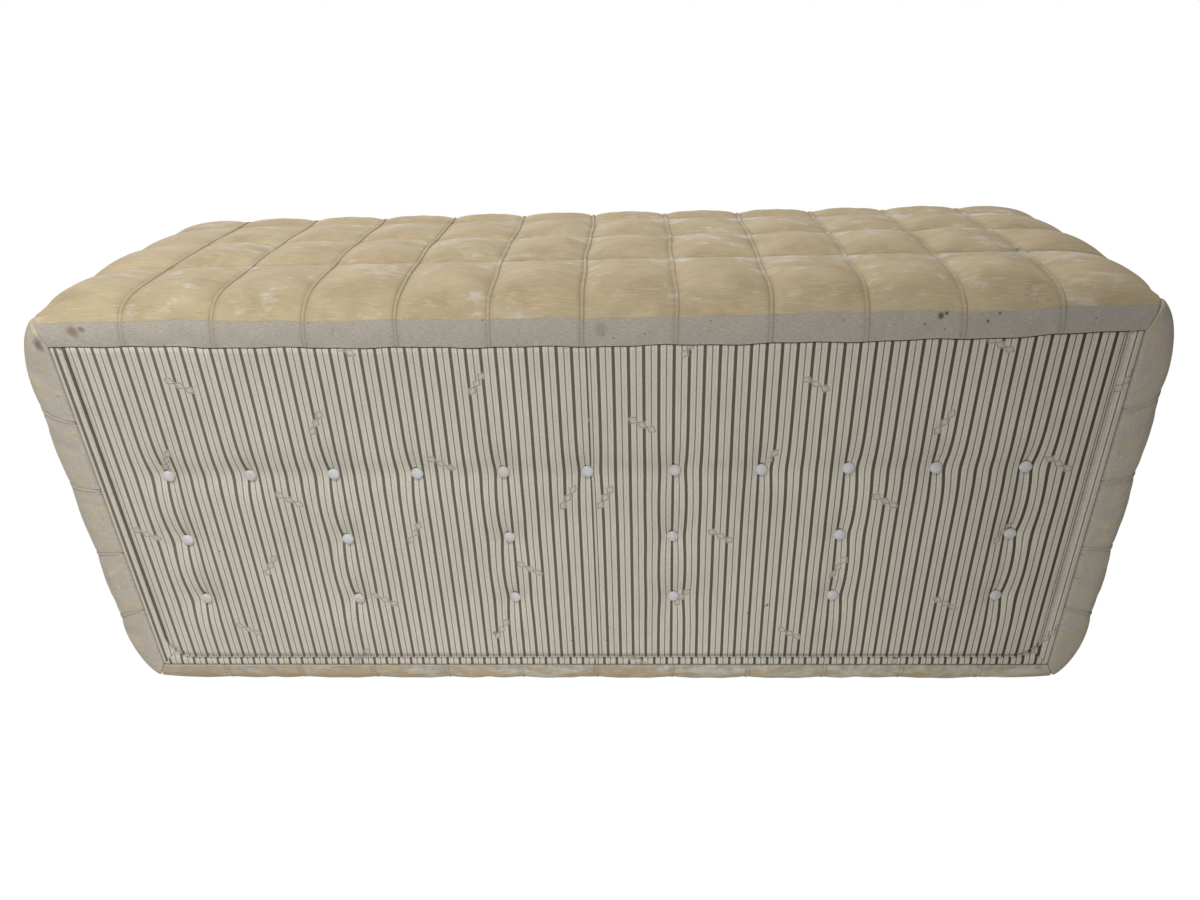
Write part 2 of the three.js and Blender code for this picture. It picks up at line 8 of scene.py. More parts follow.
import bpy
import numpy as np
from mathutils import Matrix, Vector


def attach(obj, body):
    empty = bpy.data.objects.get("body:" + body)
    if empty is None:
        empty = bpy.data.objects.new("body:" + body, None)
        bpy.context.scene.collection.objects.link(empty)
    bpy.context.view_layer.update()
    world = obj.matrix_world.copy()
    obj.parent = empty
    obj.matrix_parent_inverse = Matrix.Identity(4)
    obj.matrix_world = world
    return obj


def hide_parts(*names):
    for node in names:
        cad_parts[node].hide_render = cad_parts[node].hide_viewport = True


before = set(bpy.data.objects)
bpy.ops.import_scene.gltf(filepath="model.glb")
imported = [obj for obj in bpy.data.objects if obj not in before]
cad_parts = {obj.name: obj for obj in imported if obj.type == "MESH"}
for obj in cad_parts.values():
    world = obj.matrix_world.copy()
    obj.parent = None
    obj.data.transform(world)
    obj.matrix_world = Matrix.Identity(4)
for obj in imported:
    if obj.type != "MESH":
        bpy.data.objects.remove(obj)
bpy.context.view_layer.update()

# The view
# The divan is looked at from in front and from below its base, a little to the right of its
# middle, through a fairly wide lens, as it was photographed tipped up against a white ground.

lens = 26.92
camera_place = (0.0674, -0.6788, -0.9912)
view_right = Vector((0.99897, 0.03090, 0.03316))
view_down = Vector((-0.01022, 0.86636, -0.49932))
view_forward = Vector((-0.04415, 0.49847, 0.86578))

camera = bpy.data.objects.new("Camera", bpy.data.cameras.new("Camera"))
camera.data.lens = lens
camera.data.clip_start = 0.02
camera_axes = Matrix((view_right, -view_down, -view_forward)).transposed()
camera.matrix_world = Matrix.LocRotScale(Vector(camera_place), camera_axes.to_quaternion(), None)
bpy.context.collection.objects.link(camera)
bpy.context.scene.camera = camera

# Foam slabs
# Three slabs of polyurethane foam are glued one on another and sawn to the section of the seat:
# a firm base and core, and a softer top. Sawn foam is matt, open-celled and soft at its edges, and
# it has settled a little in use.

foam_node_names = ("base_foam", "core_foam", "top_foam")
foam_voxel = 0.012
foam_cell = 0.0016
foam_pit_depth = 0.0008
settled = 0.005
settled_right = 0.010

# Where the settling starts, along each axis, and how much further on it is full.
settled_x, settled_run_x = -0.1, 0.5
settled_y, settled_run_y = -0.12, 0.10
settled_z, settled_run_z = 0.3, 0.15


def linear(code):
    """The linear colour of an sRGB hex code."""
    parts = [int(code[k:k + 2], 16) / 255 for k in (1, 3, 5)]
    return (*(c / 12.92 if c <= 0.04045 else ((c + 0.055) / 1.055) ** 2.4 for c in parts), 1.0)


def set_inputs(node, inputs):
    """Sets a node's inputs, by name or in order. Each takes a value, a hex colour, or what another
    node or its socket gives."""
    for name, value in inputs.items() if isinstance(inputs, dict) else enumerate(inputs):
        if isinstance(value, bpy.types.Node):
            value = next(socket for socket in value.outputs if socket.enabled)
        if isinstance(value, bpy.types.NodeSocket):
            node.id_data.links.new(value, node.inputs[name])
        else:
            node.inputs[name].default_value = linear(value) if isinstance(value, str) else value


def add_node(tree, kind, inputs=None, **settings):
    """Adds a shader node with its settings and inputs."""
    node = tree.nodes.new("ShaderNode" + kind)
    for name, value in settings.items():
        setattr(node, name, value)
    set_inputs(node, inputs or ())
    return node


def new_material(name):
    """A new material, its shader, and what adds nodes to it."""
    material = bpy.data.materials.new(name)
    material.use_nodes = True
    tree = material.node_tree
    return material, tree.nodes["Principled BSDF"], partial(add_node, tree)


def tint(add, under, over, pattern, low=0.0, high=1.0, most=1.0):
    """Lays a colour over another: none of it where a pattern is low, a share of most where high."""
    share = add("MapRange", {0: pattern, "From Min": low, "From Max": high, "To Max": most})
    return add("Mix", {0: share, 6: under, 7: over}, data_type="RGBA")


def open_cell_foam():
    """Polyurethane foam, sawn: it gives a matt cream surface pitted by its cells."""
    material, shader, add = new_material("sawn open-cell foam")
    place = add("TexCoord").outputs["Object"]
    cells = add("TexVoronoi", {"Vector": place, "Scale": 1 / foam_cell})
    tone = add("TexNoise", {"Vector": place, "Scale": 9.0, "Detail": 5.0})
    colour = tint(add, "#dccf9f", "#efe6c8", tone)
    pits = add("Bump", {"Height": cells, "Distance": foam_pit_depth})
    set_inputs(shader, {
        "Base Color": colour, "Normal": pits, "Roughness": 0.95, "Specular IOR Level": 0.2,
    })
    return material


def coordinates(mesh):
    """The points of a mesh as rows of numbers."""
    points = np.empty(len(mesh.vertices) * 3)
    mesh.vertices.foreach_get("co", points)
    return points.reshape(-1, 3)


def apply_modifiers(piece):
    """Gives the piece the mesh that its modifiers make, and takes them off."""
    result = piece.evaluated_get(bpy.context.evaluated_depsgraph_get())
    piece.data = bpy.data.meshes.new_from_object(result)
    piece.modifiers.clear()


def smooth(value, end):
    """A smooth rise from 0 at 0 to 1 at end."""
    share = np.clip(value / end, 0, 1)
    return share * share * (3 - 2 * share)


def sag(x, y, z):
    """How far the seat has settled in use, most of all at the right of its front edge."""
    right = smooth(x - settled_x, settled_run_x)
    front = smooth(settled_y - y, settled_run_y)
    return (settled + settled_right * right * front) * smooth(z - settled_z, settled_run_z)


def soft_copy(node, name, voxel):
    """A rounded, slightly uneven and settled copy of a foam or wadding node."""
    piece = bpy.data.objects.new(name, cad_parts[node].data.copy())
    bpy.context.collection.objects.link(piece)
    piece.data.transform(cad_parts[node].matrix_world)
    remesh = piece.modifiers.new("Remesh", "REMESH")
    remesh.mode = "VOXEL"
    remesh.voxel_size = voxel
    softened = piece.modifiers.new("Smooth", "SMOOTH")
    softened.factor = 0.5
    softened.iterations = 3
    apply_modifiers(piece)
    points = coordinates(piece.data)
    points[:, 2] -= sag(*points.T)
    piece.data.vertices.foreach_set("co", points.ravel())
    piece.data.polygons.foreach_set("use_smooth", [True] * len(piece.data.polygons))
    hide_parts(node)
    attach(piece, "root")
    return piece


foam_material = open_cell_foam()
for node_name in foam_node_names:
    slab = soft_copy(node_name, node_name + "_slab", foam_voxel)
    slab.data.materials.clear()
    slab.data.materials.append(foam_material)

# Cover
# The cover is crushed velvet quilted over wadding and scrim: a front, a seat and a back panel and
# two end panels, sewn together. A column seam is felled, two rows of stitching with a rib between
# them, and a row seam is a single row of stitching that the pads close over.

quilt_pitch = 0.112
middle_columns = 10
edge_column = 0.096
corner_seam_x = middle_columns / 2 * quilt_pitch + edge_column
end_bulge = 0.031
corner_setback = 0.028
corner_flare = 0.030
half_depth = 0.260
belly_overhang = 0.050
belly_height = 0.084
shoulder_overhang = 0.034
shoulder_height = 0.426
side_lean = 0.005
seat_edge_inset = 0.044
seat_edge_height = 0.478
seat_crown = 0.010
base_rise = 0.6 * belly_height
base_handle = 0.8 * belly_overhang
belly_handle = 0.3 * belly_height
side_handle = 0.36 * (shoulder_height - belly_height)
turn_handle = 0.6 * (seat_edge_height - shoulder_height)
first_row = 0.184
row_pitch = 0.119
side_rows = 4
seat_rows = 4
end_column_pitch = 0.112
end_columns = 5
cover_thickness = 0.014
corner_round = 0.090
end_side_round = 0.110
end_base_round = 0.036
end_top_round = 0.112
corner_power = 2.2
end_power = 1.8
pad_power = 2.4
pad_lean = 0.82
tuft_row_offset = -0.073
tuft_row_pitch = 0.104
tuft_pull = 0.008
tuft_reach = 0.048
quilt_crown = 0.012
used_crown_share = 0.50
end_crown = 0.0045
seam_gap = 0.00015
seam_wander = 0.0011
edge_wander = 0.0008
edge_bow = 0.0095
edge_bow_middle = 0.1
edge_bow_reach = 0.68
edge_bow_end = 0.15
edge_ease = 0.070
straight_end = 0.05
straight_base = 0.06
tiny = 1e-9


def cubic(start, first, second, end, steps=300):
    """Points along a cubic curve, but for its end."""
    t = np.linspace(0, 1, steps, endpoint=False)[:, None]
    a, b, c, d = (np.array(p) for p in (start, first, second, end))
    return a * (1 - t) ** 3 + 3 * b * t * (1 - t) ** 2 + 3 * c * t * t * (1 - t) + d * t ** 3


def front_profile():
    """The front half of the section at seam level: the base edge, belly, shoulder and seat edge."""
    base = (half_depth, 0)
    belly = (half_depth + belly_overhang, belly_height)
    shoulder = (half_depth + shoulder_overhang, shoulder_height)
    edge = (half_depth - seat_edge_inset, seat_edge_height)
    turn_run = 0.5 * (shoulder[0] - edge[0])
    top = seat_edge_height + seat_crown
    curves = [
        (base, (base[0] + base_handle, 0), (belly[0], belly_handle), belly),
        (belly, (belly[0], belly[1] + side_handle),
         (shoulder[0] + side_lean, shoulder[1] - side_handle), shoulder),
        (shoulder, (shoulder[0] - side_lean, shoulder[1] + turn_handle),
         (edge[0] + turn_run, edge[1]), edge),
        (edge, (0.5 * edge[0], top), (0.5 * edge[0], top), (0, top)),
    ]
    points = [cubic(*curve) for curve in curves]
    return np.concatenate(points + [np.array([curves[-1][-1]])]), [len(p) for p in points]


profile, profile_counts = front_profile()
profile_girth = np.concatenate([[0], np.cumsum(np.hypot(*np.diff(profile, axis=0).T))])
profile_heading = np.gradient(profile, profile_girth, axis=0)
half_girth = profile_girth[-1]
shoulder_girth = profile_girth[sum(profile_counts[:2])]
seat_edge_girth = profile_girth[sum(profile_counts[:3])]


def rounded(distance, length, power):
    """Share of a rounding that is left at a distance from the seam that it turns into."""
    share = np.clip(distance / length, 0, 1)
    return (1 - (1 - share) ** power) ** (1 / power)


def section_point(girth, inward, setback=0.0):
    """Y and Z of the section, girth round from the front edge of the base and inward of the cover."""
    behind = girth > half_girth
    along = np.clip(np.where(behind, 2 * half_girth - girth, girth), 0, half_girth)
    forward, height = (np.interp(along, profile_girth, profile[:, k]) for k in (0, 1))
    ahead, up = (np.interp(along, profile_girth, profile_heading[:, k]) for k in (0, 1))
    depth = inward + setback * smooth(height, base_rise)
    y = forward - depth * up
    return np.where(behind, y, -y), height + depth * ahead


column_seams = np.array(
    [-corner_seam_x]
    + [(k - middle_columns / 2) * quilt_pitch for k in range(middle_columns + 1)]
    + [corner_seam_x]
)
front_row_seams = np.array([0.0] + [first_row + k * row_pitch for k in range(side_rows)])
seat_start = front_row_seams[-1]
seat_row_seams = seat_start + np.arange(seat_rows + 1) * 2 * (half_girth - seat_start) / seat_rows
back_row_seams = 2 * half_girth - front_row_seams[::-1]


def tuft_places():
    """Name, x and y of each button, and the girth at which its twine holds the seat."""
    places = []
    for row in range(seat_rows - 1):
        step = 1 if row == 0 else 2
        count = middle_columns // step + 1
        for k in range(count):
            x = (k * step - (count - 1) / 2 * step) * quilt_pitch
            y = tuft_row_offset + row * tuft_row_pitch
            places.append((f"{row + 1}_{k + 1}", x, y, seat_row_seams[row + 1]))
    return places


tufts = tuft_places()


def from_base(girth):
    """Girth to the nearer edge of the base."""
    return np.minimum(girth, 2 * half_girth - girth)


def from_corner(x):
    """Distance to the nearer corner seam."""
    return corner_seam_x - abs(x)


def flare(girth):
    """How far a corner seam leans out past the ticking, at each place round the section."""
    rise = np.clip(from_base(girth) / (0.5 * first_row), 0, 1)
    return corner_flare * rise * (1.5 - 0.5 * rise)


def base_edge_stray(x):
    """How far in the front edge of the base is drawn by the taut ticking, and strays by hand."""
    drawn = edge_bow * (1 - ((x - edge_bow_middle) / edge_bow_reach) ** 2)
    wander = edge_wander * (np.sin(41 * x + 0.6) + 0.6 * np.sin(97 * x + 2.0))
    return drawn * smooth(from_corner(x), edge_bow_end) + wander * smooth(from_corner(x), straight_end)


def cover_point(x, girth, inward):
    """Points of the long cover, with x, girth and inward as grids of numbers."""
    setback = corner_setback * (1 - rounded(from_corner(x), corner_round, corner_power))
    y, z = section_point(girth, inward, setback)
    away = np.min([np.hypot(x - tx, girth - tg) for _, tx, _, tg in tufts], axis=0)
    drawn = tuft_pull * np.maximum(0, 1 - away / tuft_reach) ** 2
    last_column = np.maximum(0, 1 - from_corner(x) / edge_column)
    free = smooth(from_corner(x), edge_column) * smooth(from_base(girth), straight_base)
    waves = np.sin(23 * girth + 5 * x) + 0.7 * np.sin(51 * girth - 13 * x + 1.0)
    lean = np.sign(x) * last_column * flare(girth)
    y = y + base_edge_stray(x) * (1 - smooth(girth, edge_ease))
    return np.stack([x + seam_wander * free * waves + lean, y, z - drawn - sag(x, y, z)], axis=-1)


end_width = 2 * (half_depth + belly_overhang - corner_setback)
end_corner_girth = (shoulder_girth + seat_edge_girth) / 2


def end_point(across, up, inward, bulge):
    """Points of the right end: a patch stretched over the section's edge, and bulged outwards."""
    def front(girth):
        return np.stack(section_point(girth, inward, corner_setback), axis=-1)

    mirror = np.array([-1, 1])
    a = (across / end_width)[..., None]
    u = (up / end_corner_girth)[..., None]
    foot = front(np.zeros_like(up))
    head = front(np.full_like(up, end_corner_girth))
    bottom = foot + (foot * mirror - foot) * a
    side = front(up)
    sides = side + (side * mirror - side) * a
    top_girth = end_corner_girth + 2 * (half_girth - end_corner_girth) * a[..., 0]
    ends = bottom + (front(top_girth) - bottom) * u
    corners = bottom + (head + (head * mirror - head) * a - bottom) * u
    y, z = np.moveaxis(sides + ends - corners, -1, 0)
    fullness = (
        rounded(np.minimum(across, end_width - across), end_side_round, end_power)
        * rounded(up, end_base_round, end_power)
        * rounded(end_corner_girth - up, end_top_round, end_power)
    )
    return np.stack([corner_seam_x + seam_gap + flare(up) + bulge * fullness, y, z], axis=-1)


first_end_seam = (end_width - (end_columns - 2) * end_column_pitch) / 2
end_column_seams = np.array(
    [0.0] + [first_end_seam + k * end_column_pitch for k in range(end_columns - 1)] + [end_width]
)
end_row_seams = np.array(
    [g for g in front_row_seams if g + 0.33 * row_pitch < end_corner_girth] + [end_corner_girth]
)

# Across a felled seam, from its middle: the rib, the stitched groove and the rise to the pad.
rib_places = (0.0, 0.0014, 0.0022, 0.0031, 0.0046)
rib_heights = (0.0008, 0.0005, -0.0009, -0.0020, -0.0004)
crease_places = (0.0, 0.0014, 0.0036)
crease_heights = (-0.0030, -0.0018, 0.0)
pad_step = 0.0085


def stations(seams, beside, step=pad_step):
    """Places along a quilted line: close together beside each seam, and a step apart between."""
    places = []
    for start, end in zip(seams[:-1], seams[1:]):
        span = end - start - 2 * beside[-1]
        count = max(1, round(span / step))
        places += [start + near for near in beside]
        places += [start + beside[-1] + span * k / count for k in range(1, count)]
        places += [end - near for near in reversed(beside[1:])]
    return np.array(places + [seams[-1]])


def pillow(places, seams, lean=1.0):
    """How full the pad is at each place. A lean under 1 moves the fullest place to its start."""
    cell = np.clip(np.searchsorted(seams, places, "right") - 1, 0, len(seams) - 2)
    width = seams[cell + 1] - seams[cell]
    share = np.clip((places - seams[cell]) / width, 0, 1) ** lean
    return np.minimum(1, width / quilt_pitch) * (1 - abs(2 * share - 1) ** pad_power)


def from_seam(places, seams):
    """Distance from each place to the nearest seam."""
    return abs(places[:, None] - seams[None, :]).min(axis=1)


def grid_faces(rows, columns, first=0):
    """Faces over a grid of points, numbered row by row."""
    n = first + np.arange(rows * columns).reshape(rows, columns)
    corners = [n[:-1, :-1], n[1:, :-1], n[1:, 1:], n[:-1, 1:]]
    return np.stack(corners, axis=-1).reshape(-1, 4).tolist()


def grid_edge(rows, columns, first=0):
    """Numbers of the points round a grid as one closed loop, each with its place round, in sides."""
    n = first + np.arange(rows * columns).reshape(rows, columns)
    loop = [(n[i, 0], i / (rows - 1)) for i in range(rows - 1)]
    loop += [(n[-1, j], 1 + j / (columns - 1)) for j in range(columns - 1)]
    loop += [(n[i, -1], 3 - i / (rows - 1)) for i in range(rows - 1, 0, -1)]
    loop += [(n[0, j], 4 - j / (columns - 1)) for j in range(columns - 1, 0, -1)]
    return loop + [(n[0, 0], 4)]


def edge_band(face, backing):
    """Triangles that join the edge of a face to the edge of its backing."""
    triangles = []
    i = j = 0
    while i < len(face) - 1 or j < len(backing) - 1:
        face_next = face[i + 1][1] if i < len(face) - 1 else math.inf
        backing_next = backing[j + 1][1] if j < len(backing) - 1 else math.inf
        if face_next <= backing_next:
            triangles.append((face[i + 1][0], face[i][0], backing[j][0]))
            i += 1
        else:
            triangles.append((backing[j][0], backing[j + 1][0], face[i][0]))
            j += 1
    return [tuple(int(n) for n in triangle) for triangle in triangles]


def new_piece(name, points, faces, uv, material):
    """An object from its points and faces, with a UV map in metres of flat cloth."""
    mesh = bpy.data.meshes.new(name)
    mesh.from_pydata(points.tolist(), [], faces)
    corners = np.empty(len(mesh.loops), dtype=int)
    mesh.loops.foreach_get("vertex_index", corners)
    mesh.uv_layers.new(name="cloth").data.foreach_set("uv", uv[corners].ravel())
    mesh.polygons.foreach_set("use_smooth", [True] * len(mesh.polygons))
    mesh.materials.append(material)
    piece = bpy.data.objects.new(name, mesh)
    bpy.context.collection.objects.link(piece)
    return piece


def settle(points, faces, held, growth, pressure, cap, frames=18):
    """Cloth of these points, held at some, grows and is pressed outwards until it settles."""
    mesh = bpy.data.meshes.new("settling")
    mesh.from_pydata(points.tolist(), [], faces)
    cloth = bpy.data.objects.new("settling", mesh)
    bpy.context.collection.objects.link(cloth)
    pins = cloth.vertex_groups.new(name="held")
    pins.add([int(n) for n in np.flatnonzero(held)], 1.0, "REPLACE")
    modifier = cloth.modifiers.new("Cloth", "CLOTH")
    settings = modifier.settings
    settings.quality = 6
    settings.mass = 0.25
    settings.tension_stiffness = 25
    settings.compression_stiffness = 25
    settings.shear_stiffness = 8
    settings.bending_stiffness = 0.25
    settings.vertex_group_mass = "held"
    settings.shrink_min = -growth
    settings.shrink_max = -growth
    settings.use_pressure = True
    settings.uniform_pressure_force = pressure
    settings.effector_weights.gravity = 0
    modifier.collision_settings.use_collision = False
    modifier.point_cache.frame_start = 1
    modifier.point_cache.frame_end = frames
    for frame_number in range(1, frames + 1):
        bpy.context.scene.frame_set(frame_number)
    result = cloth.evaluated_get(bpy.context.evaluated_depsgraph_get()).to_mesh()
    move = coordinates(result) - points
    bpy.data.objects.remove(cloth)
    bpy.context.scene.frame_set(1)
    length = np.linalg.norm(move, axis=1, keepdims=True)
    return points + move * np.minimum(1, cap / np.maximum(length, tiny))


swelling_growth = 0.006
swelling_pressure = 1.0
swelling_cap = 0.0025
start_fullness = 0.94
rib_hold = 1.2 * rib_places[-1]
crease_hold = 1.1 * crease_places[1]
base_seam_reach = 0.01
base_seam_share = 0.3
used_height = 0.22
used_run = 0.18
above_floor = 0.0002
backing_beside = (0.0, 0.01)
backing_step = 0.05


def quilted_panel(name, node, columns, rows, place, backing_place, uv_place, material, full, flat=True):
    """A panel over its column and row seams: the quilted face, its backing and the edge between.
    Its pads stand as high as full, and a flat one has no fullness where it meets the floor."""
    across = stations(columns, rib_places)
    along = stations(rows, crease_places)
    x, g = np.meshgrid(across, along, indexing="ij")
    column_gap = from_seam(across, columns[1:-1])[:, None]
    row_gap = from_seam(along, rows[from_base(rows) > base_seam_reach])[None, :]
    rib = np.interp(column_gap, rib_places, rib_heights)
    seam = np.minimum(rib, np.interp(row_gap, crease_places, crease_heights))
    seam = np.where(column_gap < rib_places[2], rib_heights[0], seam)
    fullness = np.outer(pillow(across, columns), pillow(along, rows, pad_lean))
    crown = full * start_fullness
    height = place(x, g, np.zeros_like(x))[..., 2]
    rise = smooth(height, base_rise) if flat else np.ones_like(x)
    used = 1 - (1 - used_crown_share) * smooth(height - used_height, used_run)
    seam = seam * (base_seam_share + (1 - base_seam_share) * rise)
    face = place(x, g, crown * used * fullness * rise + seam).reshape(-1, 3)
    faces = grid_faces(*x.shape)
    held = (column_gap < rib_hold) | (from_seam(along, rows)[None, :] < crease_hold)
    held |= from_seam(across, columns)[:, None] < crease_places[1]
    face = settle(face, faces, held.ravel(), swelling_growth, swelling_pressure, swelling_cap)
    face[:, 2] = np.maximum(face[:, 2], above_floor)
    back_grid = np.meshgrid(
        *(stations(seams, backing_beside, backing_step) for seams in (columns, rows)), indexing="ij"
    )
    back_size = (*back_grid[0].shape, len(face))
    faces += [f[::-1] for f in grid_faces(*back_size)]
    faces += edge_band(grid_edge(*x.shape), grid_edge(*back_size))
    points = np.concatenate([face, backing_place(*back_grid).reshape(-1, 3)])
    uv = np.concatenate([uv_place(x, g).reshape(-1, 2), uv_place(*back_grid).reshape(-1, 2)])
    piece = new_piece(name, points, faces, uv, material)
    seam_above = rows[np.minimum(np.searchsorted(rows, along, "right"), len(rows) - 1)] - along
    measures = {"row_gap": row_gap, "column_gap": column_gap, "seam_above": seam_above[None, :]}
    for measure, grid in measures.items():
        values = np.ones(len(points))
        values[:len(face)] = np.broadcast_to(grid, x.shape).ravel()
        piece.data.attributes.new(measure, "FLOAT", "POINT").data.foreach_set("value", values)
    fine = piece.modifiers.new("Subdivision", "SUBSURF")
    fine.levels = fine.render_levels = 1
    fine.boundary_smooth = "PRESERVE_CORNERS"
    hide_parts(node)
    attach(piece, "root")
    return piece


def grain(add, uv, length, width, detail=3.0, roughness=0.5, turn=0.0):
    """Uneven grain in cloth: its length along X and its width across, turned by degrees."""
    stretched = add("Mapping", {
        "Vector": uv, "Rotation": (0, 0, math.radians(turn)), "Scale": (1 / length, 1 / width, 1),
    })
    return add("TexNoise", {
        "Vector": stretched, "Scale": 1.0, "Detail": detail, "Roughness": roughness,
    })


def shown_near(add, gap, core, edge, strength, offset=0.0):
    """How strongly a stitch, fold or spot shows at a gap from it: in full up to core, none from edge.
    With an offset, it lies that far from where the gap is measured."""
    gap = add("Math", (gap, offset), operation="SUBTRACT")
    gap = add("Math", (gap,), operation="ABSOLUTE")
    return add("MapRange", {
        0: gap, "From Min": core, "From Max": edge, "To Min": strength, "To Max": 0.0,
    })


def stains_and_painted_shade(add, colour, uv, marks, core, ragged=1.0):
    """Lays stains, and spots of painted shade, on cloth, each in full up to a share, core, of its
    radius.
    """
    for place, radius, code, strength in marks:
        gap = add("VectorMath", (uv, (*place, 0)), operation="DISTANCE").outputs["Value"]
        gap = add("Math", (gap, ragged), operation="MULTIPLY")
        colour = tint(add, colour, code, shown_near(add, gap, core * radius, radius, strength))
    return colour


def crushed_velvet(name, bare_width, bare_wander, bare_blend, marks=(), painted_light_share=0.0):
    """Cotton velvet, its pile crushed in use: warm sand, with a pale painted sheen and painted glints
    where the pile lies flat, most of all under a row seam. Along the base it is worn down to the grey
    ground of the cloth."""
    material, shader, add = new_material(name)
    uv = add("UVMap", uv_map="cloth")
    place = add("SeparateXYZ", {"Vector": uv})
    woven = partial(grain, add, uv)
    seam_above, column_gap, row_gap = (
        add("Attribute", attribute_name=measure).outputs["Fac"]
        for measure in ("seam_above", "column_gap", "row_gap")
    )

    # The pile: broad lights and darks, darker threads, and paler slubs of the weft.
    threads = woven(0.016, 0.0011)
    colour = tint(add, "#b19e7e", "#c6b493", woven(0.070, 0.045, 5.0, 0.62), 0.32, 0.68)
    colour = tint(add, colour, "#a08c6c", threads, 0.52, 0.74, 0.34)
    colour = tint(add, colour, "#dac8a4", woven(0.024, 0.0017), 0.55, 0.72, 0.6)

    # Crushed pile, shown by a painted sheen and painted glints where it lies flat, and more of it
    # towards the right.
    crush = woven(0.030, 0.017, 6.0, 0.68)
    used = add("MapRange", {
        0: place.outputs["X"], "From Min": -0.30, "From Max": 0.20, "To Min": 0.090, "To Max": 0.235,
    })
    near_seam = shown_near(add, seam_above, 0.0, 0.062, 1.0)
    pressed = add("Math", (near_seam, used, crush), operation="MULTIPLY_ADD")
    patches = add("MapRange", {
        0: woven(0.110, 0.075), "From Min": 0.38, "From Max": 0.64, "To Min": -0.10, "To Max": 0.08,
    })
    pressed = add("Math", (pressed, patches), operation="ADD")
    painted_sheen = add("MapRange", {0: pressed, "From Min": 0.57, "From Max": 0.72, "To Max": 0.74})
    painted_glints = woven(0.004, 0.0016)
    painted_glints = add("MapRange", {0: painted_glints, "From Min": 0.60, "From Max": 0.75, "To Max": 0.8})
    painted_glints = add("Math", (painted_sheen, painted_glints), operation="MULTIPLY")
    # Painted sheen and painted glints: the crushed pile is painted pale grey where light would shine
    # off it.
    colour = tint(add, tint(add, colour, "#d3cdc1", painted_sheen), "#e6e1d6", painted_glints)

    # The ground: grey fibres along the rows, felted, with tiny dark nubs.
    fibres = woven(0.0065, 0.0009)
    bare = tint(add, "#9c9588", "#bab3a7", fibres, 0.32, 0.68)
    bare = tint(add, bare, "#aba498", woven(0.0032, 0.0028), 0.38, 0.62, 0.5)
    nubs = add("TexVoronoi", {"Vector": uv, "Scale": 1 / 0.013})
    chosen = add("SeparateColor", {"Color": nubs.outputs["Color"]}).outputs["Red"]
    chosen = add("Math", (chosen, 0.62), operation="GREATER_THAN")
    nubs = add("Math", (shown_near(add, nubs, 0.06, 0.12, 0.7), chosen), operation="MULTIPLY")
    bare = tint(add, bare, "#6c6559", nubs)

    # The line where the pile starts, which wanders, and painted light: an even lightening all over,
    # which makes the end panels look more brightly lit.
    past = place.outputs["Y"]
    wanders = (
        (woven(0.016, 0.016, 6.0, 0.62), bare_width - bare_wander, bare_width + bare_wander),
        (woven(0.20, 9.0), -0.003, 0.003),
    )
    for pattern, least, most in wanders:
        wander = add("MapRange", {
            0: pattern, "From Min": 0.3, "From Max": 0.7, "To Min": least, "To Max": most,
        })
        past = add("Math", (past, wander), operation="SUBTRACT")
    kept = add("MapRange", {0: past, "From Min": -0.5 * bare_blend, "From Max": 0.5 * bare_blend})
    colour = add("Mix", {0: kept, 6: bare, 7: colour}, data_type="RGBA")
    # Painted light: the whole cloth is lightened evenly, by the share given.
    colour = tint(add, colour, "#ddd5c5", painted_light_share)

    # Stains, and spots of painted shade, ragged at their edges.
    ragged = add("MapRange", {0: woven(0.004, 0.004, 4.0), "To Min": 0.5, "To Max": 1.5})
    colour = stains_and_painted_shade(add, colour, uv, marks, 0.3, ragged)

    # Two rows of stitching sink beside the rib of a column seam, and one in a row seam. Their lines are
    # darkened, partly as the thread and partly as painted shade in the groove, and a broad painted
    # shade lies beside each column seam.
    felled = shown_near(add, column_gap, 0.0002, 0.0011, 1.0, 0.0026)
    closed = shown_near(add, row_gap, 0.0003, 0.0014, 0.75)
    painted_seam_shade = shown_near(add, column_gap, 0.0026, 0.0075, 0.10)
    stitched = add("Math", (felled, closed), operation="MAXIMUM")
    strength = add("MapRange", {0: kept, "To Min": 0.14, "To Max": 0.30})
    share = add("Math", (stitched, strength), operation="MULTIPLY")
    share = add("Math", (share, painted_seam_shade), operation="MAXIMUM")
    # Painted shade in and beside the seams, together with the dark of the stitching thread.
    colour = tint(add, colour, "#6b5a42", share)

    relief = add("Math", (threads, crush), operation="ADD")
    for height, weight in ((kept, 1.2), (fibres, 0.6), (stitched, -1.5)):
        relief = add("Math", (height, weight, relief), operation="MULTIPLY_ADD")
    pile = add("Bump", {"Height": relief, "Distance": 0.0006, "Strength": 0.6})
    set_inputs(shader, {
        "Base Color": colour, "Normal": pile, "Roughness": 0.85, "Specular IOR Level": 0.2,
        "Sheen Weight": 0.2, "Sheen Roughness": 0.4,
    })
    return material


def long_panel(name, node, rows, material):
    """The front, seat or back panel."""
    return quilted_panel(
        name, node, column_seams, rows,
        lambda x, g, out: cover_point(x, g, -out),
        lambda x, g: cover_point(x, g, np.full_like(x, cover_thickness)),
        lambda x, g: np.stack([x, from_base(g)], axis=-1),
        material, quilt_crown,
    )


def end_panel(name, node, side, material):
    """The right end panel, or the left one when side is -1."""
    flip = np.array([side, side, 1])

    def place(across, up, out):
        points = end_point(across, up, np.zeros_like(up), end_bulge)
        points[..., 0] += out
        return points * flip

    def backing(across, up):
        inward = np.full_like(up, cover_thickness)
        return end_point(across, up, inward, end_bulge - cover_thickness) * flip

    return quilted_panel(
        name, node, end_column_seams, end_row_seams, place, backing,
        lambda across, up: np.stack([across + side, up], axis=-1), material, end_crown, flat=False,
    )
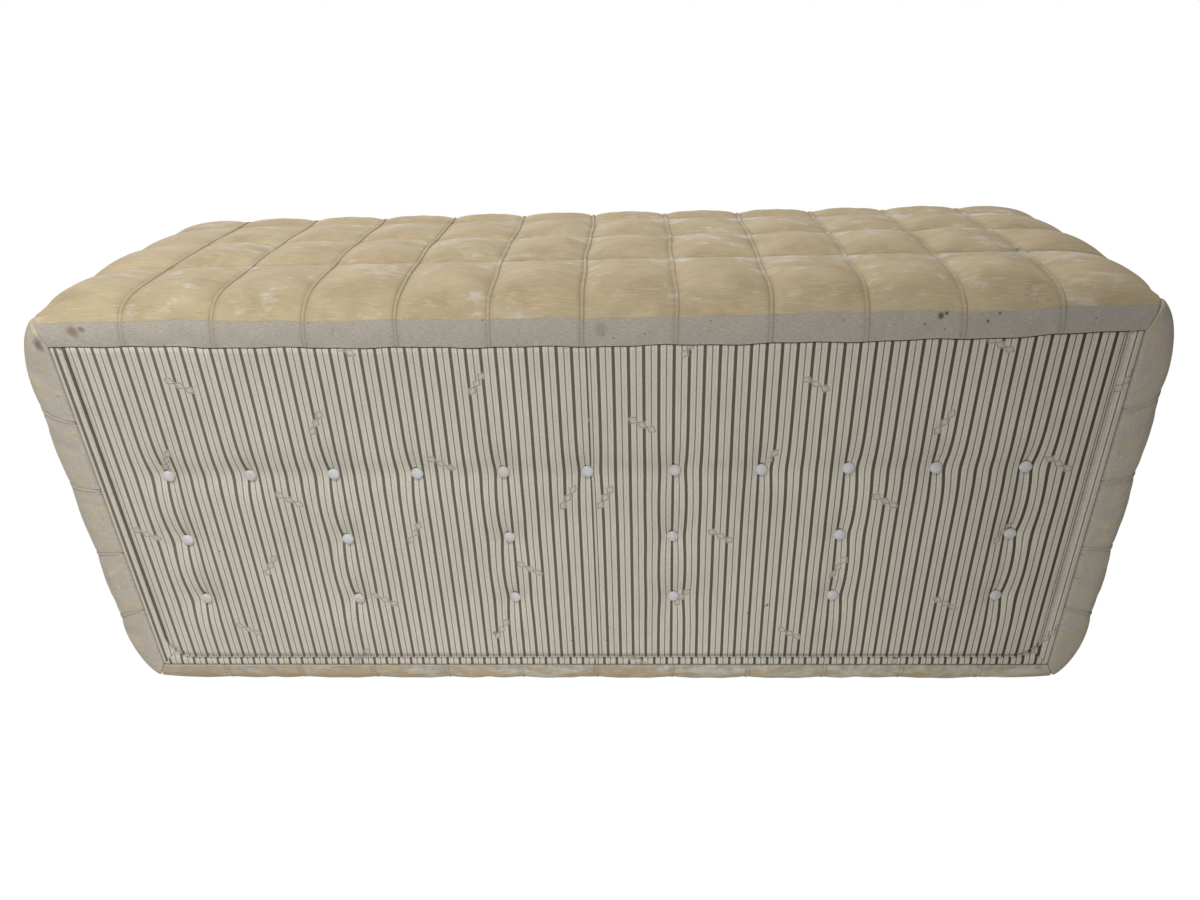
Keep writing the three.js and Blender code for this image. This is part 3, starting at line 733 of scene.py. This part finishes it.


# Stains, holes and spots of painted shade: where each lies on the flat cloth, its radius, colour and
# strength.
# On the cloth of an end panel, X runs from 1 at the right end and from -1 at the left.
front_marks = (
    # Painted shade: a dark crease near the foot of the front left corner.
    ((-0.615, 0.020), 0.009, "#7d6a58", 0.75), ((-0.604, 0.023), 0.005, "#6f6152", 0.7),
    ((0.420, 0.026), 0.0050, "#4d463c", 0.9), ((0.4265, 0.0285), 0.0028, "#4d463c", 0.9),
    ((0.474, 0.020), 0.0026, "#4f483e", 0.8), ((0.487, 0.028), 0.0022, "#4f483e", 0.8),
    ((0.402, 0.018), 0.0022, "#5a5347", 0.7), ((0.022, 0.020), 0.010, "#8f8470", 0.5),
    # A pale tuft of torn wadding, and a dark spot beside it as its painted shadow.
    ((0.5560, 0.1890), 0.0062, "#8e897f", 0.9), ((0.5640, 0.1815), 0.0048, "#3d382f", 0.9),
)
end_marks = (
    # Painted shade: two dark spots in the gap at the foot of the right front corner seam.
    ((1.005, 0.056), 0.0075, "#3f392f", 0.9), ((1.003, 0.045), 0.0050, "#4c463b", 0.8),
    # Painted shade: the end panel's part of the dark crease at the front left corner.
    ((-0.443, 0.011), 0.0085, "#665f52", 0.75),
)
front_velvet = crushed_velvet(
    "crushed velvet, bare along the front edge",
    bare_width=0.0315, bare_wander=0.0012, bare_blend=0.0010, marks=front_marks,
)
end_velvet = crushed_velvet(
    "crushed velvet, bare in patches",
    # Painted light: the end panels are lightened all over.
    bare_width=0.022, bare_wander=0.050, bare_blend=0.050, marks=end_marks, painted_light_share=0.22,
)
back_velvet = crushed_velvet(
    "crushed velvet, bare at the back edge", bare_width=0.004, bare_wander=0.020, bare_blend=0.020
)
long_panel("quilted_front", "front_panel", front_row_seams, front_velvet)
long_panel("quilted_seat", "seat_panel", seat_row_seams, front_velvet)
long_panel("quilted_back", "back_panel", back_row_seams, back_velvet)
end_panel("quilted_right_end", "right_end_panel", 1, end_velvet)
end_panel("quilted_left_end", "left_end_panel", -1, end_velvet)

# End pads
# A pad of polyester wadding fills each end panel and rounds it out. It is a loose white fleece,
# felted a little where it is pressed between the foam and the cover.

pad_voxel = 0.012
wadding_fibre = 0.004
fluff_depth = 0.002


def carded_wadding():
    """Polyester wadding, carded: a white, hairy mat with no shine."""
    material, shader, add = new_material("carded polyester wadding")
    place = add("TexCoord").outputs["Object"]
    fibres = add("TexNoise", {
        "Vector": place, "Scale": 1 / wadding_fibre, "Detail": 6.0, "Distortion": 2.0,
    })
    fluff = add("Bump", {"Height": fibres, "Distance": fluff_depth})
    colour = tint(add, "#dcdad2", "#f4f2ec", fibres)
    set_inputs(shader, {"Base Color": colour, "Normal": fluff, "Roughness": 1.0})
    return material


wadding = carded_wadding()
for node_name in ("left_end_pad", "right_end_pad"):
    pad = soft_copy(node_name, node_name + "_wadding", pad_voxel)
    pad.data.materials.clear()
    pad.data.materials.append(wadding)

# Base ticking
# Striped cotton ticking closes the base. It is stretched front to back, its edge is turned under
# and topstitched to the border on three sides, and each button draws it up into a puckered hollow.

edge_gap = 0.0003
border_width = 0.016
welt_corner_radius = 0.038
dimple_depth = 0.009
dimple_reach = 0.050
button_radius = 0.00825
stripe_pitch = 0.01835
cloth_thickness = 0.0008
welt_x = corner_seam_x - edge_gap - border_width
welt_y = half_depth - edge_gap - border_width
front_y = -half_depth + edge_gap

# Across the turned edge, from its fold: how far the cloth lies above the floor.
turned_edge_places = (0.0, 0.0006, 0.0016, 0.0028, 0.0038, 0.0048, 0.0064, 0.0085, 0.0125)
turned_edge_heights = (0.0040, 0.0016, 0.0002, 0.0003, 0.0014, 0.0030, 0.0016, 0.0006, 0.0006)

# The cloth is two widths, joined near the middle, and the left one lies a little further on in the
# weave. The woven figures: their step across and down it, and where one of each slant lies.
join_x = 0.005
join_shift = 0.050
figure_steps = ((0.104, 0.171), (-0.211, 0.054))
figure_places = {-60: (0.022, -0.035), 30: (0.175, 0.027)}
figure_length = 0.040
lozenge_half_length = 0.0066
lozenge_half_width = 0.0046
lozenge_slope = -lozenge_half_width / lozenge_half_length

# Stains, listed as those of the velvet are.
ticking_marks = (
    ((-0.0953, 0.1969), 0.0042, "#857b69", 0.75), ((0.2440, 0.1461), 0.0022, "#423b30", 0.9),
    ((0.2475, 0.1440), 0.0014, "#423b30", 0.9), ((0.2410, 0.1490), 0.0014, "#4a4338", 0.8),
    ((0.2182, 0.1605), 0.0020, "#6b6354", 0.8), ((0.2215, 0.1590), 0.0012, "#4a4338", 0.8),
    ((-0.4660, 0.0480), 0.0014, "#4a4338", 0.8), ((-0.5980, -0.0200), 0.0015, "#4a4338", 0.8),
    ((0.0160, 0.2110), 0.0013, "#5b5446", 0.8), ((0.0220, 0.1870), 0.0012, "#5b5446", 0.8),
)


def striped_ticking(name):
    """Cotton ticking in a close twill, which gives a dry cloth with a faint slant in its dark stripes.
    The stripes are woven in, front to back, and small chains of lozenges break them here and there."""
    material, shader, add = new_material(name)
    uv = add("UVMap", uv_map="cloth")
    across = add("SeparateXYZ", {"Vector": uv}).outputs["X"]
    from_join = add("Math", (across, join_x), operation="SUBTRACT")
    left = add("Math", (from_join, 0.0), operation="LESS_THAN")
    shift = add("CombineXYZ", {"X": add("Math", (left, join_shift), operation="MULTIPLY")})
    uv = add("VectorMath", (uv, shift), operation="ADD")
    across = add("SeparateXYZ", {"Vector": uv}).outputs["X"]
    share = add("Math", (across, 1 / stripe_pitch), operation="MULTIPLY")
    share = add("Math", (share,), operation="FRACT")
    stripes = add("ValToRGB", {"Fac": share})
    dark, line, faint, light = "#544d3f", "#756d5e", "#c2bbad", "#cfc8ba"
    stops = [
        (0.0, dark), (0.092, dark), (0.118, light), (0.250, light), (0.270, faint), (0.310, faint),
        (0.330, light), (0.444, light), (0.458, line), (0.524, line), (0.540, light), (0.660, light),
        (0.680, faint), (0.720, faint), (0.740, light), (0.872, light), (0.898, dark),
    ]
    ramp = stripes.color_ramp
    ramp.elements.remove(ramp.elements[0])
    ramp.elements[0].position = stops[0][0]
    ramp.elements[0].color = linear(stops[0][1])
    for position, code in stops[1:]:
        ramp.elements.new(position).color = linear(code)
    twill = grain(add, uv, 0.0011, 0.004, turn=38)
    warp = grain(add, uv, 0.0009, 0.030)
    relief = add("Math", (twill, warp), operation="ADD")
    shade = add("MapRange", {
        0: relief, "From Min": 0.7, "From Max": 1.3, "To Min": 0.84, "To Max": 1.14,
    })
    soil = add("TexNoise", {"Vector": uv, "Scale": 7.0, "Detail": 5.0, "Roughness": 0.6})
    soil = add("MapRange", {
        0: soil, "From Min": 0.35, "From Max": 0.7, "To Min": 1.03, "To Max": 0.93,
    })
    shade = add("Math", (shade, soil), operation="MULTIPLY")
    # Painted light: the dark stripes are paled towards the left, a painted haze of light.
    painted_light_at_left = add("MapRange", {
        0: across, "From Min": -0.6, "From Max": 0.6, "To Min": 0.16, "To Max": 0.0,
    })
    colour = tint(add, stripes, light, painted_light_at_left)

    # A figure: a pale ground that breaks the stripes, and the thin outline of a chain of lozenges.
    steps = np.array(figure_steps)
    for turn, start in figure_places.items():
        from_start = add("VectorMath", (uv, (*start, 0)), operation="SUBTRACT")
        column, row = (
            add("VectorMath", (from_start, (*step, 0)), operation="DOT_PRODUCT").outputs["Value"]
            for step in np.linalg.inv(steps.T)
        )
        cell = add("CombineXYZ", (column, row, 0.5))
        cell = add("VectorMath", (cell, (0.5, 0.5, 0)), operation="ADD")
        cell = add("VectorMath", (cell,), operation="FRACTION")
        cell = add("VectorMath", (cell, (0.5, 0.5, 0.5)), operation="SUBTRACT")
        heading = np.array([math.cos(math.radians(turn)), math.sin(math.radians(turn))])
        along, off = (
            add("VectorMath", (cell, (*(steps @ axis), 0)), operation="DOT_PRODUCT").outputs["Value"]
            for axis in (heading, np.array([-heading[1], heading[0]]))
        )
        end = add("Math", (along,), operation="ABSOLUTE")
        inside = add("Math", (end, figure_length / 2), operation="LESS_THAN")
        slope = add("Math", (along, lozenge_half_length), operation="PINGPONG")
        slope = add("Math", (slope, lozenge_slope, lozenge_half_width), operation="MULTIPLY_ADD")
        off = add("Math", (off,), operation="ABSOLUTE")
        outside = add("Math", (off, slope), operation="SUBTRACT")
        ground = add("MapRange", {
            0: outside, "From Min": 0.0010, "From Max": 0.0022, "To Min": 0.85, "To Max": 0.0,
        })
        outline = shown_near(add, outside, 0.0004, 0.0010, 0.8)
        for share, code in ((ground, "#c5beb0"), (outline, "#857d6f")):
            share = add("Math", (share, inside), operation="MULTIPLY")
            colour = tint(add, colour, code, share)

    # The seam of the two widths, painted shade in the fold of the turned edge, its stitching darkened
    # partly as the thread and partly as painted shade in the groove, and a few stains.
    fold = add("Attribute", attribute_name="fold_gap").outputs["Fac"]
    join = shown_near(add, from_join, 0.0003, 0.0010, 0.5)
    painted_fold_shade = shown_near(add, fold, 0.0004, 0.0014, 0.75)
    stitched = shown_near(add, fold, 0.0003, 0.0011, 0.6, 0.0033)
    share = add("Math", (painted_fold_shade, stitched), operation="MAXIMUM")
    share = add("Math", (share, join), operation="MAXIMUM")
    # Painted shade in the fold and the stitched groove of the turned edge, and the dark join of the two
    # widths.
    colour = tint(add, colour, "#4c4537", share)
    colour = stains_and_painted_shade(add, colour, uv, ticking_marks, 0.6)

    worn = add("VectorMath", (colour, shade), operation="MULTIPLY")
    weave = add("Bump", {"Height": relief, "Distance": 0.0003, "Strength": 0.4})
    set_inputs(shader, {
        "Base Color": worn, "Normal": weave, "Roughness": 0.9, "Specular IOR Level": 0.25,
    })
    return material


corner_centre = np.array([welt_x - welt_corner_radius, welt_y - welt_corner_radius])


def round_the_corners(x, y):
    """Bends the lines of a square grid to follow the round back corners of the turned edge."""
    past = np.stack([abs(x), y], axis=-1) - corner_centre
    reach = np.max(past, axis=-1)
    low, high = np.min(past, axis=-1), np.maximum(reach, tiny)
    turn = math.pi / 4 * low / high
    turn = np.where(past[..., 0] >= past[..., 1], turn, math.pi / 2 - turn)
    bent = corner_centre + reach[..., None] * np.stack([np.cos(turn), np.sin(turn)], axis=-1)
    corner = (low > 0)[..., None]
    bent = np.where(corner, bent, np.stack([abs(x), y], axis=-1))
    return bent[..., 0] * np.sign(x), bent[..., 1]


def welt_distance(x, y):
    """How far a place lies inside the folded edge, which has round corners at the back."""
    past_x, past_y = abs(x) - corner_centre[0], y - corner_centre[1]
    straight = np.minimum(welt_x - abs(x), welt_y - y)
    round_corner = welt_corner_radius - np.hypot(past_x, past_y)
    return np.where((past_x > 0) & (past_y > 0), round_corner, straight)


# How far a tied button sits off its twine: towards the back at the left, and by chance.
tied_back, tied_back_from, tied_back_run = 0.0024, 0.35, 0.8
chance_back = 0.0006
chance_left, chance_right = 0.0014, 0.0010


def hand_tied(seed=5):
    """Where each button sits: up to three millimetres off its twine, most of all towards the left."""
    random = np.random.default_rng(seed)
    places = []
    for tuft, x, y, _ in tufts:
        back = tied_back * smooth(tied_back_from - x, tied_back_run)
        back += random.uniform(-chance_back, chance_back)
        places.append((tuft, x + random.uniform(-chance_left, chance_right), y + back))
    return places


button_places = hand_tied()
button_rows = sorted({by for _, _, by, _ in tufts})
valley_depth, valley_half_width, valley_fade = 0.0030, 0.017, 0.03
groove_depth, groove_half_width, groove_fade = 0.0026, 0.011, 0.035
pucker_counts = (5, 8)
fold_slants = (88, 112)
welt_margin = 0.02
front_margin = 0.03
dimple_power = 2.8
dimple_squash = 0.86
pucker_height, pucker_start, pucker_fade = 0.0008, 0.02, 0.011
fold_least, fold_most = 0.0022, 0.0034
fold_aside, fold_half_width = 0.0035, 0.0034
fold_rise, fold_fade = 0.008, 0.020
cloth_pull, cloth_pull_reach = 0.0016, 0.013


def hump(distance, width, power=2):
    """A smooth hump, 1 in the middle and nearly gone at twice its width."""
    return np.exp(-(distance / width) ** power)


def tufted(x, y, seed=3):
    """Points of the ticking where the buttons have drawn it up: a hollow, puckers and a fold at each, a
    valley along the close row, and a groove through the buttons that lie behind one another."""
    random = np.random.default_rng(seed)
    z = np.interp(welt_distance(x, y), turned_edge_places, turned_edge_heights)
    lift, move_x, move_y = np.zeros((3, *x.shape))
    beyond = np.maximum(abs(x) - max(bx for _, bx, _, _ in tufts), 0)
    drawn = valley_depth * hump(y - button_rows[0], valley_half_width) * hump(beyond, valley_fade)
    beyond = np.maximum(np.maximum(button_rows[0] - y, y - button_rows[-1]), 0)
    for column in sorted({bx for _, bx, by, _ in tufts if by > button_rows[0]}):
        groove = groove_depth * hump(x - column, groove_half_width) * hump(beyond, groove_fade)
        drawn = np.maximum(drawn, groove)
    for _, bx, by in button_places:
        dx, dy = x - bx, y - by
        r = np.hypot(dx, dimple_squash * dy) + tiny
        hollow = np.clip(1 - (r - button_radius) / dimple_reach, 0, 1)
        hollow = np.where(r < button_radius, 1, hollow) ** dimple_power
        lift = np.maximum(lift, dimple_depth * hollow)
        folds, turn = random.integers(*pucker_counts), random.uniform(0, 2 * math.pi)
        pucker = np.cos(folds * np.arctan2(dy, dx) + turn)
        pucker *= (r / pucker_start) * np.exp(-r / pucker_fade) * (r > button_radius * 0.9)
        lift += pucker_height * pucker
        slant = math.radians(random.uniform(*fold_slants))
        ahead = -(dx * math.cos(slant) + dy * math.sin(slant))
        aside = -dx * math.sin(slant) + dy * math.cos(slant)
        fold = hump(aside - fold_aside, fold_half_width) * np.exp(-np.maximum(ahead, 0) / fold_fade)
        lift += random.uniform(fold_least, fold_most) * fold * smooth(ahead, fold_rise) * (ahead > 0)
        pull = cloth_pull * (r / cloth_pull_reach) * np.exp(1 - r / cloth_pull_reach) * (r > 1e-6)
        move_x -= pull * dx / r
        move_y -= pull * dy / r
    lift += drawn * (1 - np.clip(lift / dimple_depth, 0, 1))
    free = smooth(welt_distance(x, y), welt_margin) * smooth(y + half_depth, front_margin)
    move_y = move_y * free + base_edge_stray(x) * (1 - smooth(y - front_y, edge_ease))
    return np.stack([x + move_x * free, y + move_y, np.maximum(z + lift, above_floor)], axis=-1)


def uneven_stations(low, high, centres, near=0.0030, far=0.0075, reach=0.026):
    """Places between two ends, close together round each centre and further apart between."""
    fine = np.linspace(low, high, 4000)
    closeness = np.max([hump(fine - c, reach, 4) for c in centres], axis=0)
    density = 1 / far + (1 / near - 1 / far) * closeness
    count = np.concatenate([[0], np.cumsum((density[1:] + density[:-1]) / 2 * np.diff(fine))])
    return np.interp(np.linspace(0, count[-1], round(count[-1]) + 1), count, fine)


def turned_edge_stations(low, high, low_turned, high_turned, centres):
    """Places across the ticking, close together beside a turned edge and at the buttons."""
    beside = turned_edge_places
    start = low + (beside[-1] if low_turned else 0)
    end = high - (beside[-1] if high_turned else 0)
    middle = uneven_stations(start, end, centres)
    before = low + np.array(beside[:-1]) if low_turned else []
    after = high - np.array(beside[:-1])[::-1] if high_turned else []
    return np.concatenate([before, middle, after])


def cloth_sheet(name, node, points, uv, rows, columns, material, fold_gap=1.0):
    """A thin piece of ticking over a grid of points, which faces the floor."""
    piece = new_piece(name, points, grid_faces(rows, columns), uv, material)
    gaps = np.broadcast_to(fold_gap, len(points)).astype(float)
    piece.data.attributes.new("fold_gap", "FLOAT", "POINT").data.foreach_set("value", gaps)
    thick = piece.modifiers.new("Solidify", "SOLIDIFY")
    thick.thickness = cloth_thickness
    thick.offset = 1
    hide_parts(node)
    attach(piece, "root")
    return piece


ticking = striped_ticking("striped cotton ticking")
button_columns = sorted({bx for _, bx, _, _ in tufts})
ticking_rows = turned_edge_stations(front_y, welt_y, False, True, button_rows)
ticking_columns = turned_edge_stations(-welt_x, welt_x, True, True, button_columns)
cloth_x, cloth_y = round_the_corners(*np.meshgrid(ticking_columns, ticking_rows, indexing="ij"))
cloth_sheet(
    "base_ticking_cloth", "base_ticking",
    tufted(cloth_x, cloth_y)[:, ::-1].reshape(-1, 3),
    np.stack([cloth_x, cloth_y], axis=-1)[:, ::-1].reshape(-1, 2),
    len(ticking_columns), len(ticking_rows), ticking,
    welt_distance(cloth_x, cloth_y)[:, ::-1].ravel(),
)

# Border of the ticking
# Three narrow strips of the same ticking lie outside the turned edge, mitred at the back corners,
# and are caught in the seam with the velvet.

strip_tuck = 0.004
strip_shares = (0.0, 0.25, 0.34, 0.45, 0.6, 0.8, 0.93, 1.0)
strip_heights = (0.0036, 0.0034, 0.0026, 0.0016, 0.0010, 0.0008, 0.0014, 0.0030)
corner_steps = 12
side_steps = 60
back_steps = 120


def border_strip(name, node, inner, outer, uv_shift):
    """A strip between its edge under the turned ticking and its edge at the velvet."""
    t = np.array(strip_shares)[None, :, None]
    flat = inner[:, None, :] * (1 - t) + outer[:, None, :] * t
    heights = np.broadcast_to(np.array(strip_heights)[None, :, None], (*flat.shape[:2], 1))
    points = np.concatenate([flat, heights], axis=-1)
    cloth_sheet(
        name, node, points.reshape(-1, 3), (flat + np.array(uv_shift)).reshape(-1, 2),
        len(inner), len(strip_shares), ticking,
    )


def corner_arc(start, end):
    """Places on the round corner of the turned edge, tucked under it, at the right of the base."""
    turn = np.radians(np.linspace(start, end, corner_steps))
    radius = welt_corner_radius - strip_tuck
    return corner_centre + radius * np.stack([np.cos(turn), np.sin(turn)], axis=-1)


outer_x, outer_y = corner_seam_x - edge_gap, half_depth - edge_gap
side_places = np.linspace(front_y, welt_y - welt_corner_radius, side_steps)
side_inner = np.concatenate([
    np.stack([np.full_like(side_places, welt_x - strip_tuck), side_places], axis=-1),
    corner_arc(0, 45)[1:],
])
side_outer_y = np.concatenate([side_places, np.linspace(side_places[-1], outer_y, corner_steps)[1:]])
side_outer = np.stack([np.full_like(side_outer_y, outer_x), side_outer_y], axis=-1)
mirror = np.array([-1, 1])
border_strip("right_border_strip", "border_right", side_inner[::-1], side_outer[::-1], (0.004, 0))
border_strip("left_border_strip", "border_left", side_inner * mirror, side_outer * mirror, (0.011, 0))

back_places = np.linspace(welt_x - welt_corner_radius, -welt_x + welt_corner_radius, back_steps)
arc = corner_arc(45, 90)
arc_outer = np.linspace(outer_x, welt_x - welt_corner_radius, corner_steps)
back_inner = np.concatenate([
    arc[:-1],
    np.stack([back_places, np.full_like(back_places, welt_y - strip_tuck)], axis=-1),
    (arc * mirror)[::-1][1:],
])
back_outer_x = np.concatenate([arc_outer[:-1], back_places, -arc_outer[::-1][1:]])
back_outer = np.stack([back_outer_x, np.full_like(back_outer_x, outer_y)], axis=-1)
border_strip("back_border_strip", "border_back", back_inner[::-1], back_outer[::-1], (0.006, 0))

# Buttons
# 23 moulded buttons, pale grey and slightly domed, hold the twines under the base. Each sits a
# little askew in its hollow, and a shank behind it passes through the ticking.

button_outline = (
    (0.0, 0.0042), (0.0030, 0.00428), (0.0056, 0.0047), (0.0073, 0.0056), (0.0080, 0.0066),
    (0.00825, 0.0074), (0.0081, 0.0082), (0.0074, 0.0087), (0.0030, 0.0087), (0.0022, 0.0092),
    (0.0022, 0.0130), (0.0018, 0.0133), (0.0, 0.0133),
)
button_sides = 40
most_tilt = 5


def moulded_plastic():
    """Urea plastic, pressure moulded: an even, pale grey skin with a soft shine, a little yellowed."""
    material, shader, add = new_material("moulded urea plastic")
    place = add("TexCoord").outputs["Object"]
    age = add("TexNoise", {"Vector": place, "Scale": 60.0, "Detail": 3.0})
    skin = add("TexNoise", {"Vector": place, "Scale": 900.0, "Detail": 2.0})
    shine = add("MapRange", {0: skin, "To Min": 0.44, "To Max": 0.62})
    colour = tint(add, "#c4c0b6", "#cdced1", age, 0.35, 0.6)
    set_inputs(shader, {"Base Color": colour, "Roughness": shine})
    return material


def button(name, node, x, y, tilt, turn):
    """A button turned from its outline, about its own axis."""
    angles = np.linspace(0, 2 * math.pi, button_sides, endpoint=False)
    outline = np.array(button_outline)
    rings = [(r * math.cos(a), r * math.sin(a), z) for r, z in outline[1:-1] for a in angles]
    points = [(0.0, 0.0, outline[0][1])] + rings + [(0.0, 0.0, outline[-1][1])]
    faces = []
    for k in range(button_sides):
        after = (k + 1) % button_sides
        faces.append((0, 1 + after, 1 + k))
        for ring in range(len(outline) - 3):
            low, high = 1 + ring * button_sides, 1 + (ring + 1) * button_sides
            faces.append((low + k, low + after, high + after, high + k))
        last = 1 + (len(outline) - 3) * button_sides
        faces.append((last + k, last + after, len(points) - 1))
    points = np.array(points)
    middle = Vector((0, 0, dimple_depth))
    hinge = Vector((math.cos(turn), math.sin(turn), 0))
    askew = Matrix.Translation(middle) @ Matrix.Rotation(tilt, 4, hinge)
    askew = Matrix.Translation((x, y, 0)) @ askew @ Matrix.Translation(-middle)
    points = points @ np.array(askew.to_3x3()).T + np.array(askew.translation)
    piece = new_piece(name, points, faces, points[:, :2], plastic)
    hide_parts(node)
    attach(piece, "root")


plastic = moulded_plastic()
button_chance = np.random.default_rng(11)
for tuft, x, y in button_places:
    tilt = math.radians(button_chance.uniform(0, most_tilt))
    button("domed_button_" + tuft, "button_" + tuft, x, y, tilt, button_chance.uniform(0, 2 * math.pi))

# Tufting twines
# A waxed cotton twine runs from each button's shank up through the foam to a knot under the seat.

def waxed_twine():
    """Two-ply cotton twine, waxed: dull, with the slant of its plies."""
    material, shader, add = new_material("waxed cotton twine")
    place = add("TexCoord").outputs["Object"]
    waves = {"Vector": place, "Scale": 160.0, "Distortion": 1.0}
    plies = add("TexWave", waves, bands_direction="DIAGONAL").outputs["Fac"]
    lay = add("Bump", {"Height": plies, "Distance": 0.0004})
    colour = tint(add, "#b3a482", "#ddd1b0", plies)
    set_inputs(shader, {"Base Color": colour, "Normal": lay, "Roughness": 0.6})
    return material


twine = waxed_twine()
for tuft, _, _, _ in tufts:
    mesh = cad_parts["twine_" + tuft].data
    mesh.materials.clear()
    mesh.materials.append(twine)

# The floor and the light
# A plain pale floor lies under the divan. It shows from above, and from below it is clear, so that
# the base can be seen and lit. Two soft lamps light the base from under the floor, at the left and
# behind, one stands in front, and two hang high at the left and behind.

floor_size = 14.0
floor_paint = "#eeece8"
room_light = 0.19

# Each lamp: where it stands, where it looks, the side of its square and its watts.
lamps = {
    "low_left_lamp": ((-0.69, -2.99, -1.37), (-4.27, -1.3, 0), 1.2, 164),
    "low_back_lamp": ((-0.03, 0.5, -1.4), (-0.83, 0.05, 0), 0.8, 11.7),
    "front_lamp": ((0.01, -2.2, 0.99), (2.0, -1.5, 0.48), 1.2, 28.7),
    "high_left_lamp": ((-1.2, -0.6, 2.6), (0, 0, 0.3), 1.6, 36),
    "high_back_lamp": ((1.7, 2.3, 2.2), (0, 0, 0.2), 1.6, 68),
}


def pale_floor():
    """Matt paint, seen only from above. It takes shadows, stops no light and stays pale far off."""
    material, shader, add = new_material("pale matt floor")
    set_inputs(shader, {"Base Color": floor_paint, "Roughness": 0.9})
    seen = add("LightPath").outputs["Is Camera Ray"]
    below = add("NewGeometry").outputs["Backfacing"]
    above = add("Math", (1.0, below), operation="SUBTRACT")
    seen = add("Math", (seen, above), operation="MULTIPLY")
    glow = add("Emission", {"Color": floor_paint, "Strength": 0.9})
    pale = add("MixShader", (0.6, shader, glow))
    mixed = add("MixShader", (seen, add("BsdfTransparent"), pale))
    set_inputs(material.node_tree.nodes["Material Output"], {"Surface": mixed})
    return material


reach = floor_size / 2
floor_points = reach * np.array([(-1, -1, 0), (1, -1, 0), (1, 1, 0), (-1, 1, 0)])
floor = new_piece("floor", floor_points, [(0, 1, 2, 3)], floor_points[:, :2], pale_floor())

world = bpy.data.worlds.new("studio")
world.use_nodes = True
bpy.context.scene.world = world
ray = add_node(world.node_tree, "LightPath").outputs["Is Camera Ray"]
level = add_node(world.node_tree, "MapRange", {"Value": ray, "To Min": room_light, "To Max": 1.0})
set_inputs(world.node_tree.nodes["Background"], {"Color": (1, 1, 1, 1), "Strength": level})

for name, (place, target, size, power) in lamps.items():
    lamp = bpy.data.objects.new(name, bpy.data.lights.new(name, "AREA"))
    lamp.data.shape = "SQUARE"
    lamp.data.size = size
    lamp.data.energy = power
    lamp.visible_camera = False
    lamp.location = place
    lamp.rotation_euler = (Vector(target) - Vector(place)).to_track_quat("-Z", "Y").to_euler()
    bpy.context.collection.objects.link(lamp)

bpy.context.scene.view_settings.view_transform = "Standard"
